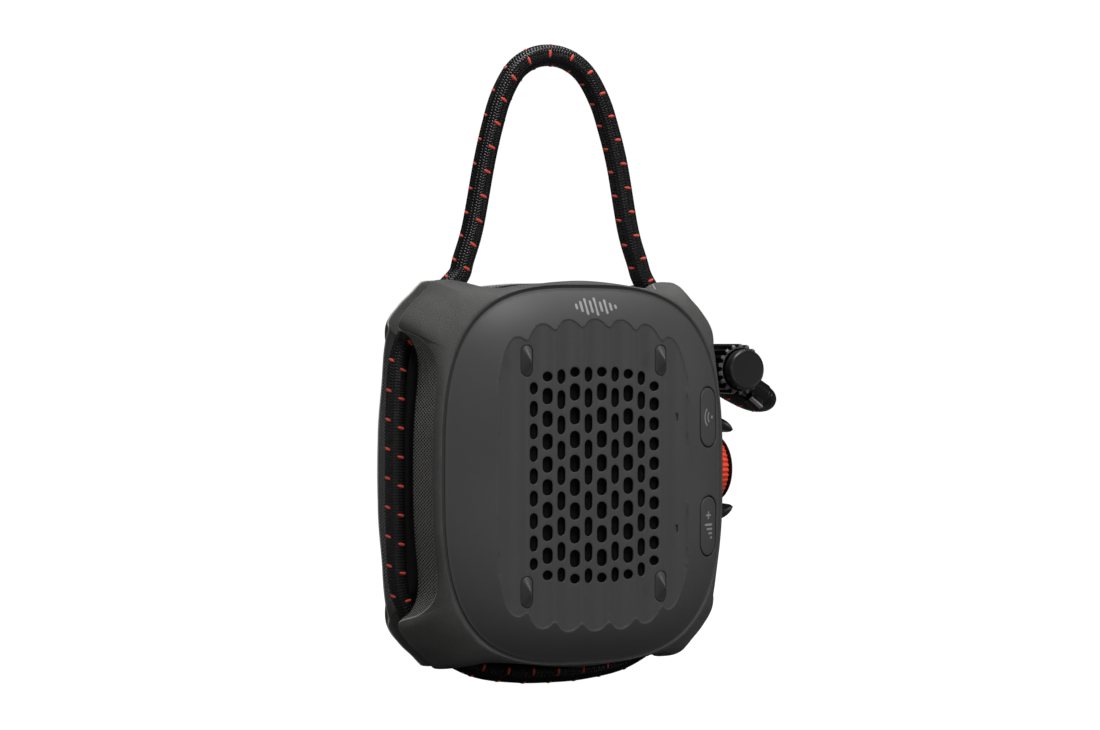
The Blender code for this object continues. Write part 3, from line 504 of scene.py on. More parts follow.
def show(name, mesh, finishes, body, replaces=()):
    """Makes a piece of the housing's own height, with its materials and body."""
    obj = bpy.data.objects.new(name, mesh)
    bpy.context.scene.collection.objects.link(obj)
    obj.location.z = MIDDLE_Z
    for finish in finishes:
        mesh.materials.append(finish)
    if body:
        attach(obj, body)
    if replaces:
        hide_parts(*replaces)
    return obj


def finish_mesh(mesh, angle=None):
    """Smooths a mesh; edges sharper than the angle, in degrees, stay sharp."""
    mesh.validate()
    mesh.shade_smooth()
    if angle:
        mesh.set_sharp_from_angle(angle=radians(angle))
    return mesh


def shape_mesh(shape, name, angle=None):
    mesh = bpy.data.meshes.new(name)
    shape.to_mesh(mesh)
    shape.free()
    return finish_mesh(mesh, angle)


def solid_mesh(shape, name, angle=None):
    """A finished mesh of a closed shape, with its faces turned outwards."""
    bmesh.ops.recalc_face_normals(shape, faces=shape.faces)
    return shape_mesh(shape, name, angle)


def joined(name, meshes, angle):
    shape = bmesh.new()
    for mesh in meshes:
        shape.from_mesh(mesh)
    return solid_mesh(shape, name, angle)


def stitched(shape, rows, last=0):
    """Joins closed rows of points into bands of faces; the last band gets its own material number."""
    made = [[shape.verts.new(point) for point in row] for row in rows]
    for low, high in zip(made, made[1:]):
        for k in range(len(low)):
            face = shape.faces.new((low[k], low[(k + 1) % len(low)], high[(k + 1) % len(low)], high[k]))
            face.material_index = last if high is made[-1] else 0
    return made


def rows_mesh(name, rows, round_trip=True, ends=False, uv=None, angle=None, flip=False, zones=None):
    """A mesh through rows of equally many points; round_trip closes each row, ends caps the first and last row.

    uv, if given, has one (u, v) for each row and each point, with one more point where rows are closed.
    zones, if given, has each face's material number, for each row of faces."""
    rows = np.asarray(rows, float)
    count_rows, count = rows.shape[:2]
    reach = count if round_trip else count - 1
    row_index, point_index = np.meshgrid(np.arange(count_rows - 1), np.arange(reach), indexing="ij")
    after = (point_index + 1) % count
    base, above = row_index * count, (row_index + 1) * count
    quads = np.stack([base + point_index, base + after, above + after, above + point_index], -1).reshape(-1, 4)
    if flip:
        quads = quads[:, ::-1]
    faces = quads.tolist()
    if ends:
        last = (count_rows - 1) * count
        faces.append(list(range(count)) if flip else list(range(count))[::-1])
        faces.append([last + k for k in range(count)][:: -1 if flip else 1])
    mesh = bpy.data.meshes.new(name)
    mesh.from_pydata(rows.reshape(-1, 3).tolist(), [], faces)
    if zones is not None:
        mesh.polygons.foreach_set("material_index", np.asarray(zones, np.int32).reshape(-1))
    if uv is not None:
        uv = np.asarray(uv, float)
        corner_rows = np.stack([row_index, row_index, row_index + 1, row_index + 1], -1).reshape(-1, 4)
        corner_points = np.stack([point_index, point_index + 1, point_index + 1, point_index], -1).reshape(-1, 4)
        if flip:
            corner_rows, corner_points = corner_rows[:, ::-1], corner_points[:, ::-1]
        corners = uv[corner_rows.reshape(-1), corner_points.reshape(-1)]
        layer = mesh.uv_layers.new(name="UVMap")
        values = np.zeros((len(mesh.loops), 2))
        values[: len(corners)] = corners
        layer.data.foreach_set("uv", values.reshape(-1))
    return finish_mesh(mesh, angle)


def obround(width, height, centre=(0.0, 0.0), steps=8):
    """A pill outline as an array of points, upright when it is taller than it is wide."""
    radius = min(width, height) / 2
    reach = max(width, height) / 2 - radius
    turns = np.concatenate([np.linspace(0, pi, steps + 1), np.linspace(pi, tau, steps + 1)])
    lift = np.concatenate([np.full(steps + 1, reach), np.full(steps + 1, -reach)])
    points = np.stack([radius * np.cos(turns), radius * np.sin(turns) + lift], -1)
    if width > height:
        points = np.stack([points[:, 1], -points[:, 0]], -1)
    if reach < 1e-6:
        points = np.delete(points, [steps + 1, 2 * steps + 1], 0)
    return points + np.asarray(centre)


def outline_distance(points, size, centre):
    """Signed distance of points from a pill outline, negative inside."""
    radius = min(size) / 2
    reach = max(size) / 2 - radius
    shifted = np.asarray(points) - np.asarray(centre)
    long = int(size[1] >= size[0])
    beyond = shifted[:, long] - np.clip(shifted[:, long], -reach, reach)
    return np.hypot(shifted[:, 1 - long], beyond) - radius


def spline(points, steps):
    """Points on a smooth curve from the second point to the last but one, some steps from each to the next."""
    shares = (np.arange(steps) / steps)[:, None]
    stretches = []
    for before, start, end, after in zip(points, points[1:], points[2:], points[3:]):
        square = (2 * before - 5 * start + 4 * end - after) * shares**2
        cube = (3 * start - before - 3 * end + after) * shares**3
        stretches.append(0.5 * (2 * start + (end - before) * shares + square + cube))
    return np.concatenate(stretches)


def lengths_along(points):
    return np.concatenate([[0], np.cumsum(np.linalg.norm(np.diff(points, axis=0), axis=1))])


def smooth_route(points, step):
    """Evenly spaced points, at most a step apart, on a smooth curve through the given ones."""
    knots = [np.asarray(point, float) for point in points]
    padded = [2 * knots[0] - knots[1], *knots, 2 * knots[-1] - knots[-2]]
    dense = np.concatenate([spline(padded, 24), knots[-1][None]])
    lengths = lengths_along(dense)
    count = int(np.ceil(lengths[-1] / step))
    wanted = np.linspace(0, lengths[-1], count + 1)
    return np.stack([np.interp(wanted, lengths, dense[:, k]) for k in range(dense.shape[1])], -1)


def in_cord_plane(route):
    return [(x, 0.0, z) for x, z in route]


def screwed(name, profile, steps, axis, angle=30):
    """A closed or axis-ended profile of (radius, height) turned about the X or Y axis, as a finished mesh."""
    shape = bmesh.new()
    verts = [shape.verts.new((radius, 0.0, height)) for radius, height in profile]
    edges = [shape.edges.new(pair) for pair in zip(verts, verts[1:])]
    if min(radius for radius, _ in profile) > 1e-7:
        edges.append(shape.edges.new((verts[-1], verts[0])))
    bmesh.ops.spin(shape, geom=verts + edges, cent=(0, 0, 0), axis=(0, 0, 1), angle=tau, steps=steps)
    bmesh.ops.remove_doubles(shape, verts=shape.verts, dist=1e-6)
    turn = Matrix.Rotation(pi / 2, 3, "Y") if axis == "X" else Matrix.Rotation(-pi / 2, 3, "X")
    bmesh.ops.rotate(shape, verts=shape.verts, cent=(0, 0, 0), matrix=turn)
    return solid_mesh(shape, name, angle)


def rounded_profile(points, radius, steps=4):
    """A profile whose inner corners are rounded, each by at most a third of its shorter side."""
    rounded = [points[0]]
    for before, corner, after in zip(points, points[1:], points[2:]):
        before, corner, after = (np.asarray(p, float) for p in (before, corner, after))
        reach = min(radius, np.linalg.norm(before - corner) / 3, np.linalg.norm(after - corner) / 3)
        start = corner + (before - corner) / np.linalg.norm(before - corner) * reach
        end = corner + (after - corner) / np.linalg.norm(after - corner) * reach
        for k in range(steps + 1):
            share = k / steps
            point = (1 - share) ** 2 * start + 2 * share * (1 - share) * corner + share**2 * end
            rounded.append(tuple(point))
    rounded.append(points[-1])
    return rounded


def swept(name, outline, low, high, axis="Y", edge=0.0003, segments=3, angle=30):
    """A flat closed outline swept along an axis, with rounded edges."""
    shape = bmesh.new()
    places = {"X": lambda u, v: (low, u, v), "Y": lambda u, v: (u, low, v), "Z": lambda u, v: (u, v, low)}
    verts = [shape.verts.new(places[axis](u, v)) for u, v in outline]
    face = shape.faces.new(verts)
    moved = bmesh.ops.extrude_face_region(shape, geom=[face], use_keep_orig=True)
    offset = Vector([(high - low) * (letter == axis) for letter in "XYZ"])
    far = [v for v in moved["geom"] if isinstance(v, bmesh.types.BMVert)]
    bmesh.ops.translate(shape, vec=offset, verts=far)
    bmesh.ops.recalc_face_normals(shape, faces=shape.faces)
    if edge:
        k = "XYZ".index(axis)
        rims = [e for e in shape.edges if abs(e.verts[0].co[k] - e.verts[1].co[k]) < 1e-7]
        bmesh.ops.bevel(shape, geom=rims, offset=edge, segments=segments, profile=0.5, affect="EDGES")
    return solid_mesh(shape, name, angle)


# Outlines of the housing


def ellipse_radius(turn):
    """Radius of the covers' rounded square outline in each direction."""
    across, up = np.abs(np.cos(turn)) / PLATE_HALF[0], np.abs(np.sin(turn)) / PLATE_HALF[1]
    return (across**PLATE_POWER + up**PLATE_POWER) ** (-1 / PLATE_POWER)


def rim_ring():
    """The frame's rim all round: its directions, radii and distances from the cord's plane."""
    quarter = np.array(RIM_QUARTER)
    second = quarter[-2::-1] * (-1, 1, 1)
    half = np.concatenate([quarter, second])
    whole = np.concatenate([half, half[-2:0:-1] * (1, -1, 1)])
    closed = np.concatenate([whole[-1:], whole, whole[:2]])
    points = spline(closed, RIM_STEPS)
    return np.arctan2(points[:, 1], points[:, 0]) % tau, np.hypot(points[:, 0], points[:, 1]), points[:, 2]


def groove_halves(stand):
    share = np.clip((stand - 0.0045) / 0.012, 0, 1)
    return SLOT_HALF + share * (GROOVE_HALF - SLOT_HALF)


def groove_bottoms(turns, radii):
    """Radius of the groove's bottom in each direction."""
    route = smooth_route(in_cord_plane(LEFT_ROUTE), 0.0005)
    route = route[route[:, 0] <= 0]
    angles = np.arctan2(route[:, 2], route[:, 0]) % tau
    order = np.argsort(angles)
    angles, distances = angles[order], np.hypot(route[:, 0], route[:, 2])[order]
    left = np.where(np.cos(turns) > 0, (pi - turns) % tau, turns)
    deep = np.interp(left, angles, distances) - GROOVE_CLEARANCE
    shallow = radii - TOP_GROOVE
    start = atan2(LEFT_ROUTE[0][1], -LEFT_ROUTE[0][0])
    share = np.clip((np.abs(turns - pi / 2) / (pi / 2 - start) - 0.62) / 0.25, 0, 1)
    across_top = (turns > start) & (turns < pi - start)
    blended = shallow + share * (np.minimum(distances[0] - GROOVE_CLEARANCE, shallow) - shallow)
    return np.where(across_top, blended, np.minimum(deep, shallow))


def circle_turns(count):
    """Evenly spaced directions all round."""
    return np.linspace(0, tau, count + 1)[:-1]


def ring_points(turns, radii, y):
    return np.stack([radii * np.cos(turns), np.broadcast_to(y, turns.shape), radii * np.sin(turns)], -1)


# Cover surface


def flute_field(x):
    """Height of the fluted field: shallow channels side by side, with soft ridges between them."""
    share = np.abs((x / FLUTE_PITCH + 0.5) % 1.0 - 0.5) * 2
    hollow = share**2 - 0.2 * np.clip((share - 0.8) / 0.2, 0, None) ** 2
    beyond = np.clip(np.abs(x) - 3.5 * FLUTE_PITCH, 0, None)
    return RIDGE_Y - FIELD_SAG * (x / (3 * FLUTE_PITCH)) ** 2 - FLUTE_DEPTH * (1 - hollow) + beyond * 2


def dome(x, z):
    u, v = np.abs(x) / PLATE_HALF[0], np.abs(z) / PLATE_HALF[1]
    reach = np.clip((u**PLATE_POWER + v**PLATE_POWER) ** (1 / PLATE_POWER), 1e-6, 1)
    power = 3 + 3 * v * v / (u * u + v * v + 1e-12)
    return SEAM_Y + DOME_HEIGHT * (1 - reach**power)


def cover_height(x, z):
    """How far the front cover stands out: the dome, with the flutes cut into it."""
    first, second = dome(x, z), flute_field(x)
    cut = np.clip((first - second) / FLUTE_LIP, 0, 1)
    return np.minimum(first, second) - FLUTE_STEP * cut * cut * (3 - 2 * cut)


def flute_end(x, z):
    """Whether a place is near the scalloped edge where the flutes run out into the dome."""
    above = dome(x, z) - flute_field(x)
    return (above > -0.8 * FLUTE_LIP) & (above < 1.8 * FLUTE_LIP)


def rear_height(x, z):
    """How far the rear cover stands out: flat, with a rounded shoulder at its edge."""
    u, v = np.abs(x) / PLATE_HALF[0], np.abs(z) / PLATE_HALF[1]
    share = (u**PLATE_POWER + v**PLATE_POWER) ** (1 / PLATE_POWER)
    shoulder = np.clip((share - REAR_FLAT) / (1 - REAR_FLAT), 0, 1)
    return REAR_Y - (REAR_Y - REAR_EDGE_Y) * shoulder**2.4


def surface(points, lift=0.0, height=cover_height):
    points = np.asarray(points, float)
    return np.stack([points[:, 0], -height(points[:, 0], points[:, 1]) - lift, points[:, 1]], -1)


def grid_points(low, high, step):
    """The crossings of a square grid, as an array of points."""
    lines = [np.arange(start, end, step) for start, end in zip(low, high)]
    return np.stack(np.meshgrid(*lines), -1).reshape(-1, 2)


def deeper(row, depth):
    """A row of points set back towards the inside of the cover."""
    row = row.copy()
    row[:, 1] += depth
    return row


def triangulated(outer, holes, inner_points):
    """Triangles between an outer outline and hole outlines, through the inner points."""
    loops = [outer, *holes]
    coords, edges = [], []
    for loop in loops:
        start = len(coords)
        coords += [Vector(point) for point in loop]
        edges += [(start + k, start + (k + 1) % len(loop)) for k in range(len(loop))]
    coords += [Vector(point) for point in inner_points]
    verts, _, faces, *_ = delaunay_2d_cdt(coords, edges, [], 1, 1e-9)
    return np.array([tuple(v) for v in verts]), [tuple(face) for face in faces]


class HoleWall:
    """One hole in the cover: a rounded rim, a wall and, if it has one, a floor."""

    def __init__(
        self, size, centre, rim=HOLE_RIM, depth=HOLE_DEPTH, steps=6, floor=False, height=cover_height
    ):
        self.size, self.centre, self.rim, self.depth = size, centre, rim, depth
        self.steps, self.floor, self.height = steps, floor, height

    def outline(self, offset):
        return obround(self.size[0] + 2 * offset, self.size[1] + 2 * offset, self.centre, self.steps)

    def rows(self):
        turns = np.linspace(0, pi / 2, 4)
        rows = [surface(self.outline(self.rim), 0.0, self.height)]
        for turn in turns[1:]:
            row = surface(self.outline(self.rim * (1 - sin(turn))), 0.0, self.height)
            rows.append(deeper(row, self.rim * (1 - cos(turn))))
        depths = (min(LIT_DEPTH, self.depth / 2), self.depth)
        return rows + [deeper(rows[-1], depth) for depth in depths]


def grille_holes():
    """Every slot of the grille, as its size and centre."""
    found = []
    for column in range(10):
        x = (column - 4.5) * FLUTE_PITCH / 2
        reach = GRILLE_HALF_HEIGHTS[int(abs(column - 4.5))]
        if column % 2:
            middle = (2 * reach - 2 * HOLE_WIDTH - 9 * HOLE_GAP) / 8
            lengths = [HOLE_WIDTH, *[middle] * 8, HOLE_WIDTH]
        else:
            middle = (2 * reach - 8 * HOLE_GAP) / (7 + 2 * 0.77)
            lengths = [middle * 0.77, *[middle] * 7, middle * 0.77]
        low = -reach
        for length in lengths:
            found.append(((HOLE_WIDTH, length), (x, low + length / 2)))
            low += length + HOLE_GAP
    return found


def corners(place):
    """The four places that mirror one."""
    return [(sx * place[0], sz * place[1]) for sx in (-1, 1) for sz in (-1, 1)]


def rear_walls():
    """The vents, and the openings for the screws, the power button and the port's flap."""
    walls = []
    for row in range(REAR_ROWS):
        z = (row - (REAR_ROWS - 1) / 2) * REAR_ROW_PITCH
        size = (2 * sqrt(REAR_VENT_RADIUS**2 - z * z), REAR_SLOT_WIDTH)
        walls.append(HoleWall(size, (0, z + VENT_CENTRE_Z), 0.0004, 0.0014, 8, height=rear_height))
    for centre in corners(SCREW_PLACES):
        width = 2 * (SCREW_RADIUS + REAR_GAP)
        walls.append(HoleWall((width, width), centre, 0.0002, 0.0020, 8, height=rear_height))
    width = 2 * (POWER_RADIUS + REAR_GAP)
    walls.append(HoleWall((width, width), POWER_PLACE, 0.0003, 0.0020, 12, height=rear_height))
    size = (FLAP_SIZE[0] + 2 * REAR_GAP, FLAP_SIZE[1] + 2 * REAR_GAP)
    walls.append(HoleWall(size, (0, FLAP_CENTRE_Z), 0.0003, 0.0014, 12, height=rear_height))
    return walls


def front_walls():
    walls = [HoleWall(size, centre) for size, centre in grille_holes()]
    walls += [HoleWall(STUD_SIZE, centre, 0.00010, 0.0012, 8, True) for centre in corners(STUD_CENTRE)]
    button = [length + 2 * BUTTON_GAP for length in BUTTON_SIZE]
    for size, place, details in (
        (button, BUTTON_CENTRE, (0.0002, 0.0012, 16)),
        (PINHOLE_SIZE, PINHOLE_CENTRE, (0.0001, 0.0004, 4, True)),
    ):
        walls += [HoleWall(size, (place[0], side * place[1]), *details) for side in (1, -1)]
    return walls


def cover_mesh(name, walls, height, seam_y, step):
    """A cover of the housing with holes in it, as if it faced the front."""
    turns = circle_turns(360)
    ring = ellipse_radius(turns) - COVER_EDGE
    outer = np.stack([ring * np.cos(turns), ring * np.sin(turns)], -1)
    low = -np.array(PLATE_HALF)
    grid = grid_points(low, PLATE_HALF, step)
    limit = ellipse_radius(np.arctan2(grid[:, 1], grid[:, 0])) - COVER_EDGE - 0.0004
    keep = np.hypot(grid[:, 0], grid[:, 1]) < limit
    if height is cover_height:
        fine = grid_points(low, PLATE_HALF, FINE_STEP)
        fine = fine[flute_end(fine[:, 0], fine[:, 1])]
        keep &= ~flute_end(grid[:, 0], grid[:, 1])
        grid = np.concatenate([grid, fine])
        keep = np.concatenate([keep, np.ones(len(fine), bool)])
    for wall in walls:
        keep &= outline_distance(grid, wall.size, wall.centre) > wall.rim + POINT_SPACE
    points, faces = triangulated(outer, [wall.outline(wall.rim) for wall in walls], grid[keep])
    middles = points[np.array(faces)].mean(1)
    solid = np.ones(len(faces), bool)
    for wall in walls:
        solid &= outline_distance(middles, wall.size, wall.centre) > wall.rim * 0.98
    shape = bmesh.new()
    verts = [shape.verts.new(point) for point in surface(points, 0.0, height)]
    for face, there in zip(faces, solid):
        if there:
            shape.faces.new([verts[k] for k in face])
    skirt = []
    for turn in np.linspace(0, pi / 2, 5):
        row = ring_points(turns, ellipse_radius(turns) - COVER_EDGE * (1 - sin(turn)), 0.0)
        row[:, 1] = -height(outer[:, 0], outer[:, 1]) + COVER_EDGE * (1 - cos(turn))
        skirt.append(row)
    stitched(shape, [*skirt, ring_points(turns, ellipse_radius(turns), COVER_SKIRT - seam_y)])
    for wall in walls:
        # Each wall's deepest band takes the second material, painted black as the shade in the hole.
        made = stitched(shape, wall.rows(), 1)
        if wall.floor:
            shape.faces.new(made[-1])
    bmesh.ops.remove_doubles(shape, verts=shape.verts, dist=2e-6)
    bmesh.ops.recalc_face_normals(shape, faces=shape.faces)
    middle = min(shape.faces, key=lambda f: f.calc_center_median().y)
    if middle.normal.y > 0:
        bmesh.ops.reverse_faces(shape, faces=shape.faces)
    return shape_mesh(shape, name, 50)


def surface_patch(name, size, centre, lift, edge, depth, step=0.0005):
    """A pill-shaped piece of the cover's own surface, with a rounded edge and a skirt: a button."""
    wall = HoleWall(size, centre, 0, 0, 16)
    top = (size[0] - 2 * edge, size[1] - 2 * edge)
    outline = obround(*top, centre, 16)
    low, high = ([c + side * length / 2 for c, length in zip(centre, size)] for side in (-1, 1))
    grid = grid_points(low, high, step)
    grid = grid[outline_distance(grid, top, centre) < -0.0002]
    points, faces = triangulated(outline, [], grid)
    shape = bmesh.new()
    verts = [shape.verts.new(point) for point in surface(points, lift)]
    for face in faces:
        shape.faces.new([verts[k] for k in face])
    rows = []
    for turn in np.linspace(0, pi / 2, 5):
        row = surface(wall.outline(-edge * (1 - sin(turn))), lift)
        rows.append(deeper(row, edge * (1 - cos(turn))))
    stitched(shape, [*rows, deeper(rows[-1], depth)])
    bmesh.ops.remove_doubles(shape, verts=shape.verts, dist=2e-6)
    return solid_mesh(shape, name, 50)


def printed(name, outlines, centre, turn=0.0, lift=0.00004):
    """Flat print that lies on the cover's surface, from closed outlines turned about their centre."""
    shape = bmesh.new()
    spin = np.array([[cos(turn), sin(turn)], [-sin(turn), cos(turn)]])
    for outline in outlines:
        points = np.asarray(outline, float)
        grid = grid_points(points.min(0), points.max(0), PRINT_STEP) + PRINT_STEP / 2
        grid = [point for point in grid if inside(points, point)]
        flat, faces = triangulated(points, [], grid)
        verts = [shape.verts.new(point) for point in surface(flat @ spin + np.asarray(centre), lift)]
        for face in faces:
            if inside(points, flat[list(face)].mean(0)):
                shape.faces.new([verts[k] for k in face])
    for face in shape.faces:
        face.normal_update()
        if face.normal.y > 0:
            face.normal_flip()
    return shape_mesh(shape, name)


def inside(outline, point):
    """Whether a point lies inside a closed outline."""
    ahead = np.roll(outline, -1, axis=0)
    crosses = (outline[:, 1] > point[1]) != (ahead[:, 1] > point[1])
    steps = np.where(crosses, ahead[:, 1] - outline[:, 1], 1.0)
    reach = outline[:, 0] + (point[1] - outline[:, 1]) * (ahead[:, 0] - outline[:, 0]) / steps
    return bool(np.count_nonzero(crosses & (point[0] < reach)) % 2)


def arc_band(radius, width, start, end, steps=14):
    """A curved stroke: an outline round an arc."""
    turns = np.linspace(start, end, steps)
    circle = np.stack([np.cos(turns), np.sin(turns)], -1)
    return np.concatenate([(radius + width / 2) * circle, ((radius - width / 2) * circle)[::-1]])


# Stage

VIEW_AZIMUTH = -28  # degrees from the front, towards the left
LIGHTS = (  # each one's name, place from the housing's middle, size and watts
    ("key", (-0.08, -0.60, 1.04), 0.5, 11.0),
    ("top", (0.25, 0.20, 1.00), 0.5, 7.0),
    ("right", (1.05, -0.45, 0.15), 0.3, 0.9),
    ("left", (-0.85, -0.70, 0.30), 0.2, 0.5),
    ("low", (-0.10, -0.80, -0.62), 0.3, 1.8),
    ("front_strip", (0.22, -1.00, 0.25), 0.14, 1.6),
    ("side_strip", (-0.46, -0.88, 0.10), 0.07, 0.45),
    ("back_left", (-0.75, 0.65, 0.35), 0.3, 0.8),
)


class SPEAKER_OT_stage(bpy.types.Operator):
    """Sets the camera, a pale floor with a curved backdrop, and soft studio lights"""

    bl_idname = "speaker.stage"
    bl_label = "Stage"

    def execute(self, context):
        aim = Vector((0, 0, MIDDLE_Z))
        azimuth, distance, rise, pitch = radians(VIEW_AZIMUTH), 0.790, 0.035, radians(0.41)
        camera_data = bpy.data.cameras.new("camera")
        camera_data.sensor_width = 36.0
        camera_data.lens = 93.6
        camera_data.clip_start = 0.01
        camera = bpy.data.objects.new("camera", camera_data)
        camera.location = aim + Vector((distance * sin(azimuth), -distance * cos(azimuth), rise))
        camera.rotation_euler = (pi / 2 - pitch, 0, azimuth)
        context.scene.collection.objects.link(camera)
        context.scene.camera = camera
        self.make_backdrop(context)
        for light in LIGHTS:
            self.make_light(context, aim, *light)
        world = context.scene.world = context.scene.world or bpy.data.worlds.new("world")
        world.use_nodes = True
        nodes, links = world.node_tree.nodes, world.node_tree.links
        sight = nodes.new("ShaderNodeLightPath")
        level = nodes.new("ShaderNodeMapRange")
        level.inputs["To Min"].default_value = 0.03
        level.inputs["To Max"].default_value = 1.0
        links.new(sight.outputs["Is Camera Ray"], level.inputs["Value"])
        nodes["Background"].inputs[0].default_value = (1.0, 1.0, 1.0, 1.0)
        links.new(level.outputs[0], nodes["Background"].inputs[1])
        context.scene.view_settings.view_transform = "Standard"
        return {"FINISHED"}

    def make_backdrop(self, context):
        floor_z = CAD_BOX[0][2] - 0.0005
        depth, rise, bend = 1.6, 2.4, 0.8
        section = [(-depth, 0.0)]
        section += [(depth + bend * sin(t), bend * (1 - cos(t))) for t in np.linspace(0, pi / 2, 17)]
        section.append((depth + bend, rise))
        rows = [[(x, y, floor_z + z) for y, z in section] for x in (-4.0, 4.0)]
        mesh = rows_mesh("backdrop", rows, round_trip=False)
        backdrop = bpy.data.objects.new("backdrop", mesh)
        backdrop.rotation_euler.z = radians(VIEW_AZIMUTH)
        finish = Finish("backdrop_paper", (0.12, 0.12, 0.12), 0.9)
        finish.shader.inputs["Emission Color"].default_value = (1, 1, 1, 1)
        seen = finish.node("LightPath").outputs["Is Camera Ray"]
        finish.links.new(finish.ramp(seen, 0.0, 1.0), finish.shader.inputs["Emission Strength"])
        mesh.materials.append(finish.material)
        context.scene.collection.objects.link(backdrop)

    def make_light(self, context, aim, name, place, size, power):
        data = bpy.data.lights.new(name, "AREA")
        data.shape = "DISK"
        data.size = size
        data.energy = power
        light = bpy.data.objects.new(name, data)
        light.location = aim + Vector(place)
        light.rotation_euler = (aim - light.location).to_track_quat("-Z", "Y").to_euler()
        context.scene.collection.objects.link(light)


# Cord


def cord_frames(points):
    """Two directions across a route at each of its points; they don't twist, and the first starts near -Y."""
    tangents = np.gradient(points, axis=0)
    tangents /= np.linalg.norm(tangents, axis=1)[:, None]
    across = []
    side = np.array([0.0, -1.0, 0.0])
    for tangent in tangents:
        side = side - tangent * np.dot(side, tangent)
        side /= np.linalg.norm(side)
        across.append(side.copy())
    across = np.array(across)
    return across, np.cross(tangents, across)


def tube_rows(points, turns, reach):
    """Rings round a route; reach is the radius at each place, for all turns or for each one."""
    across, other = cord_frames(points)
    circle = np.cos(turns)[:, None] * across[:, None] + np.sin(turns)[:, None] * other[:, None]
    return points[:, None] + circle * reach[..., None]


def cord_mesh(name, points, radius, around=80):
    """A tube with a slight ripple of braid, and a map of turns round it and metres along it."""
    lengths = lengths_along(points)
    turns = np.linspace(0, tau, around + 1)
    along = lengths[:, None] * pi / settings().cord.braid_pitch
    ripple = 0.00004 * np.abs(np.sin(along + 0.7 * np.sin(turns[None, :-1] * BRAID_STRANDS)))
    rows = tube_rows(points, turns[:-1], radius - 0.00003 + ripple)
    uv = np.stack(np.broadcast_arrays((turns / tau)[None, :], lengths[:, None]), -1)
    return rows_mesh(name, rows, ends=True, uv=uv, flip=True)


def tracer_mesh(name, points, radius, start, pitch, shift, first_turn, last_turn, reach=1.0):
    """Short red threads that lie over the sheath in four rows, staggered from row to row.

    The rows wind slowly round the cord, from first_turn degrees at its start to last_turn at its end."""
    cord = settings().cord
    across, other = cord_frames(points)
    lengths = lengths_along(points)
    half_turn = cord.tracer_length / 2 / radius
    shape = bmesh.new()
    for row in range(4):
        place = start + (row % 2) * shift * pitch
        while place < reach * lengths[-1] - cord.tracer_width:
            wind = first_turn + (last_turn - first_turn) * place / lengths[-1]
            middle_turn = row * pi / 2 + radians(wind)
            grid = []
            for u in (-1 + 2 * i / 8 for i in range(9)):
                line = []
                for v in (-1 + 2 * j / 6 for j in range(7)):
                    width = cord.tracer_width / 2 * sqrt(max(0.0, 1 - abs(u) ** 2.2))
                    height = TRACER_RISE * max(0.0, 1 - v * v) * max(0.0, 1 - u * u) ** 0.5 - TRACER_SINK
                    turn = middle_turn + u * half_turn
                    spot = place + v * width - u * TRACER_LEAN
                    centre, first, second = (
                        np.array([np.interp(spot, lengths, values[:, k]) for k in range(3)])
                        for values in (points, across, other)
                    )
                    outward = first * cos(turn) + second * sin(turn)
                    line.append(shape.verts.new(centre + outward * (radius + height)))
                grid.append(line)
            for low, high in zip(grid, grid[1:]):
                for k in range(len(low) - 1):
                    shape.faces.new((low[k], low[k + 1], high[k + 1], high[k]))
            place += pitch
    bmesh.ops.remove_doubles(shape, verts=shape.verts, dist=1e-6)
    return solid_mesh(shape, name)


class SPEAKER_OT_cord(bpy.types.Operator):
    """Lays the bungee cord: the loop, the run round the sides and the ends at the lock"""

    bl_idname = "speaker.cord"
    bl_label = "Bungee cord"

    def execute(self, context):
        radius = settings().cord.radius
        root = [LEFT_ROUTE[1], LEFT_ROUTE[0]]
        mirrored_root = [(-x, z) for x, z in reversed(root)]
        route = in_cord_plane([*root, *LOOP_LEFT_ROUTE, *reversed(LOOP_HALF_ROUTE), *mirrored_root])
        points = smooth_route(route, ROUTE_STEP)
        sheath = cord_mesh("loop_cord", points, radius)
        loop = show("loop_cord", sheath, [braid_finish()], None)
        tracers = tracer_mesh("loop_tracers", points, radius, 0.004, 0.0068, 0.25, 8, -18)
        threads = show("loop_tracers", tracers, [thread_finish()], None)
        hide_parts("carry_loop")
        for obj in (loop, threads):
            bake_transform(obj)
        left, right = in_cord_plane(LEFT_ROUTE), in_cord_plane(RIGHT_ROUTE)
        runs = [
            ("side_cord", "cord_run", left, 0.90, 0.0078, -0.28, 1.0),
            ("lock_cord", "cord_right", right, 1.0, 0.0055, 0.25, 1.0),
            ("tail_cord", "cord_tail", TAIL_ROUTE, 1.0, 0.0044, 0.25, 0.62),
        ]
        for name, node, route, stretch, pitch, shift, reach in runs:
            points = smooth_route(route, ROUTE_STEP)
            thickness = radius * stretch
            sheath = cord_mesh(name, points, thickness)
            show(name, sheath, [braid_finish()], "housing", [node])
            name = f"{name}_tracers"
            threads = tracer_mesh(name, points, thickness, 0.0040, pitch, shift, -14, -14, reach)
            show(name, threads, [thread_finish()], "housing")
        return {"FINISHED"}


# Housing


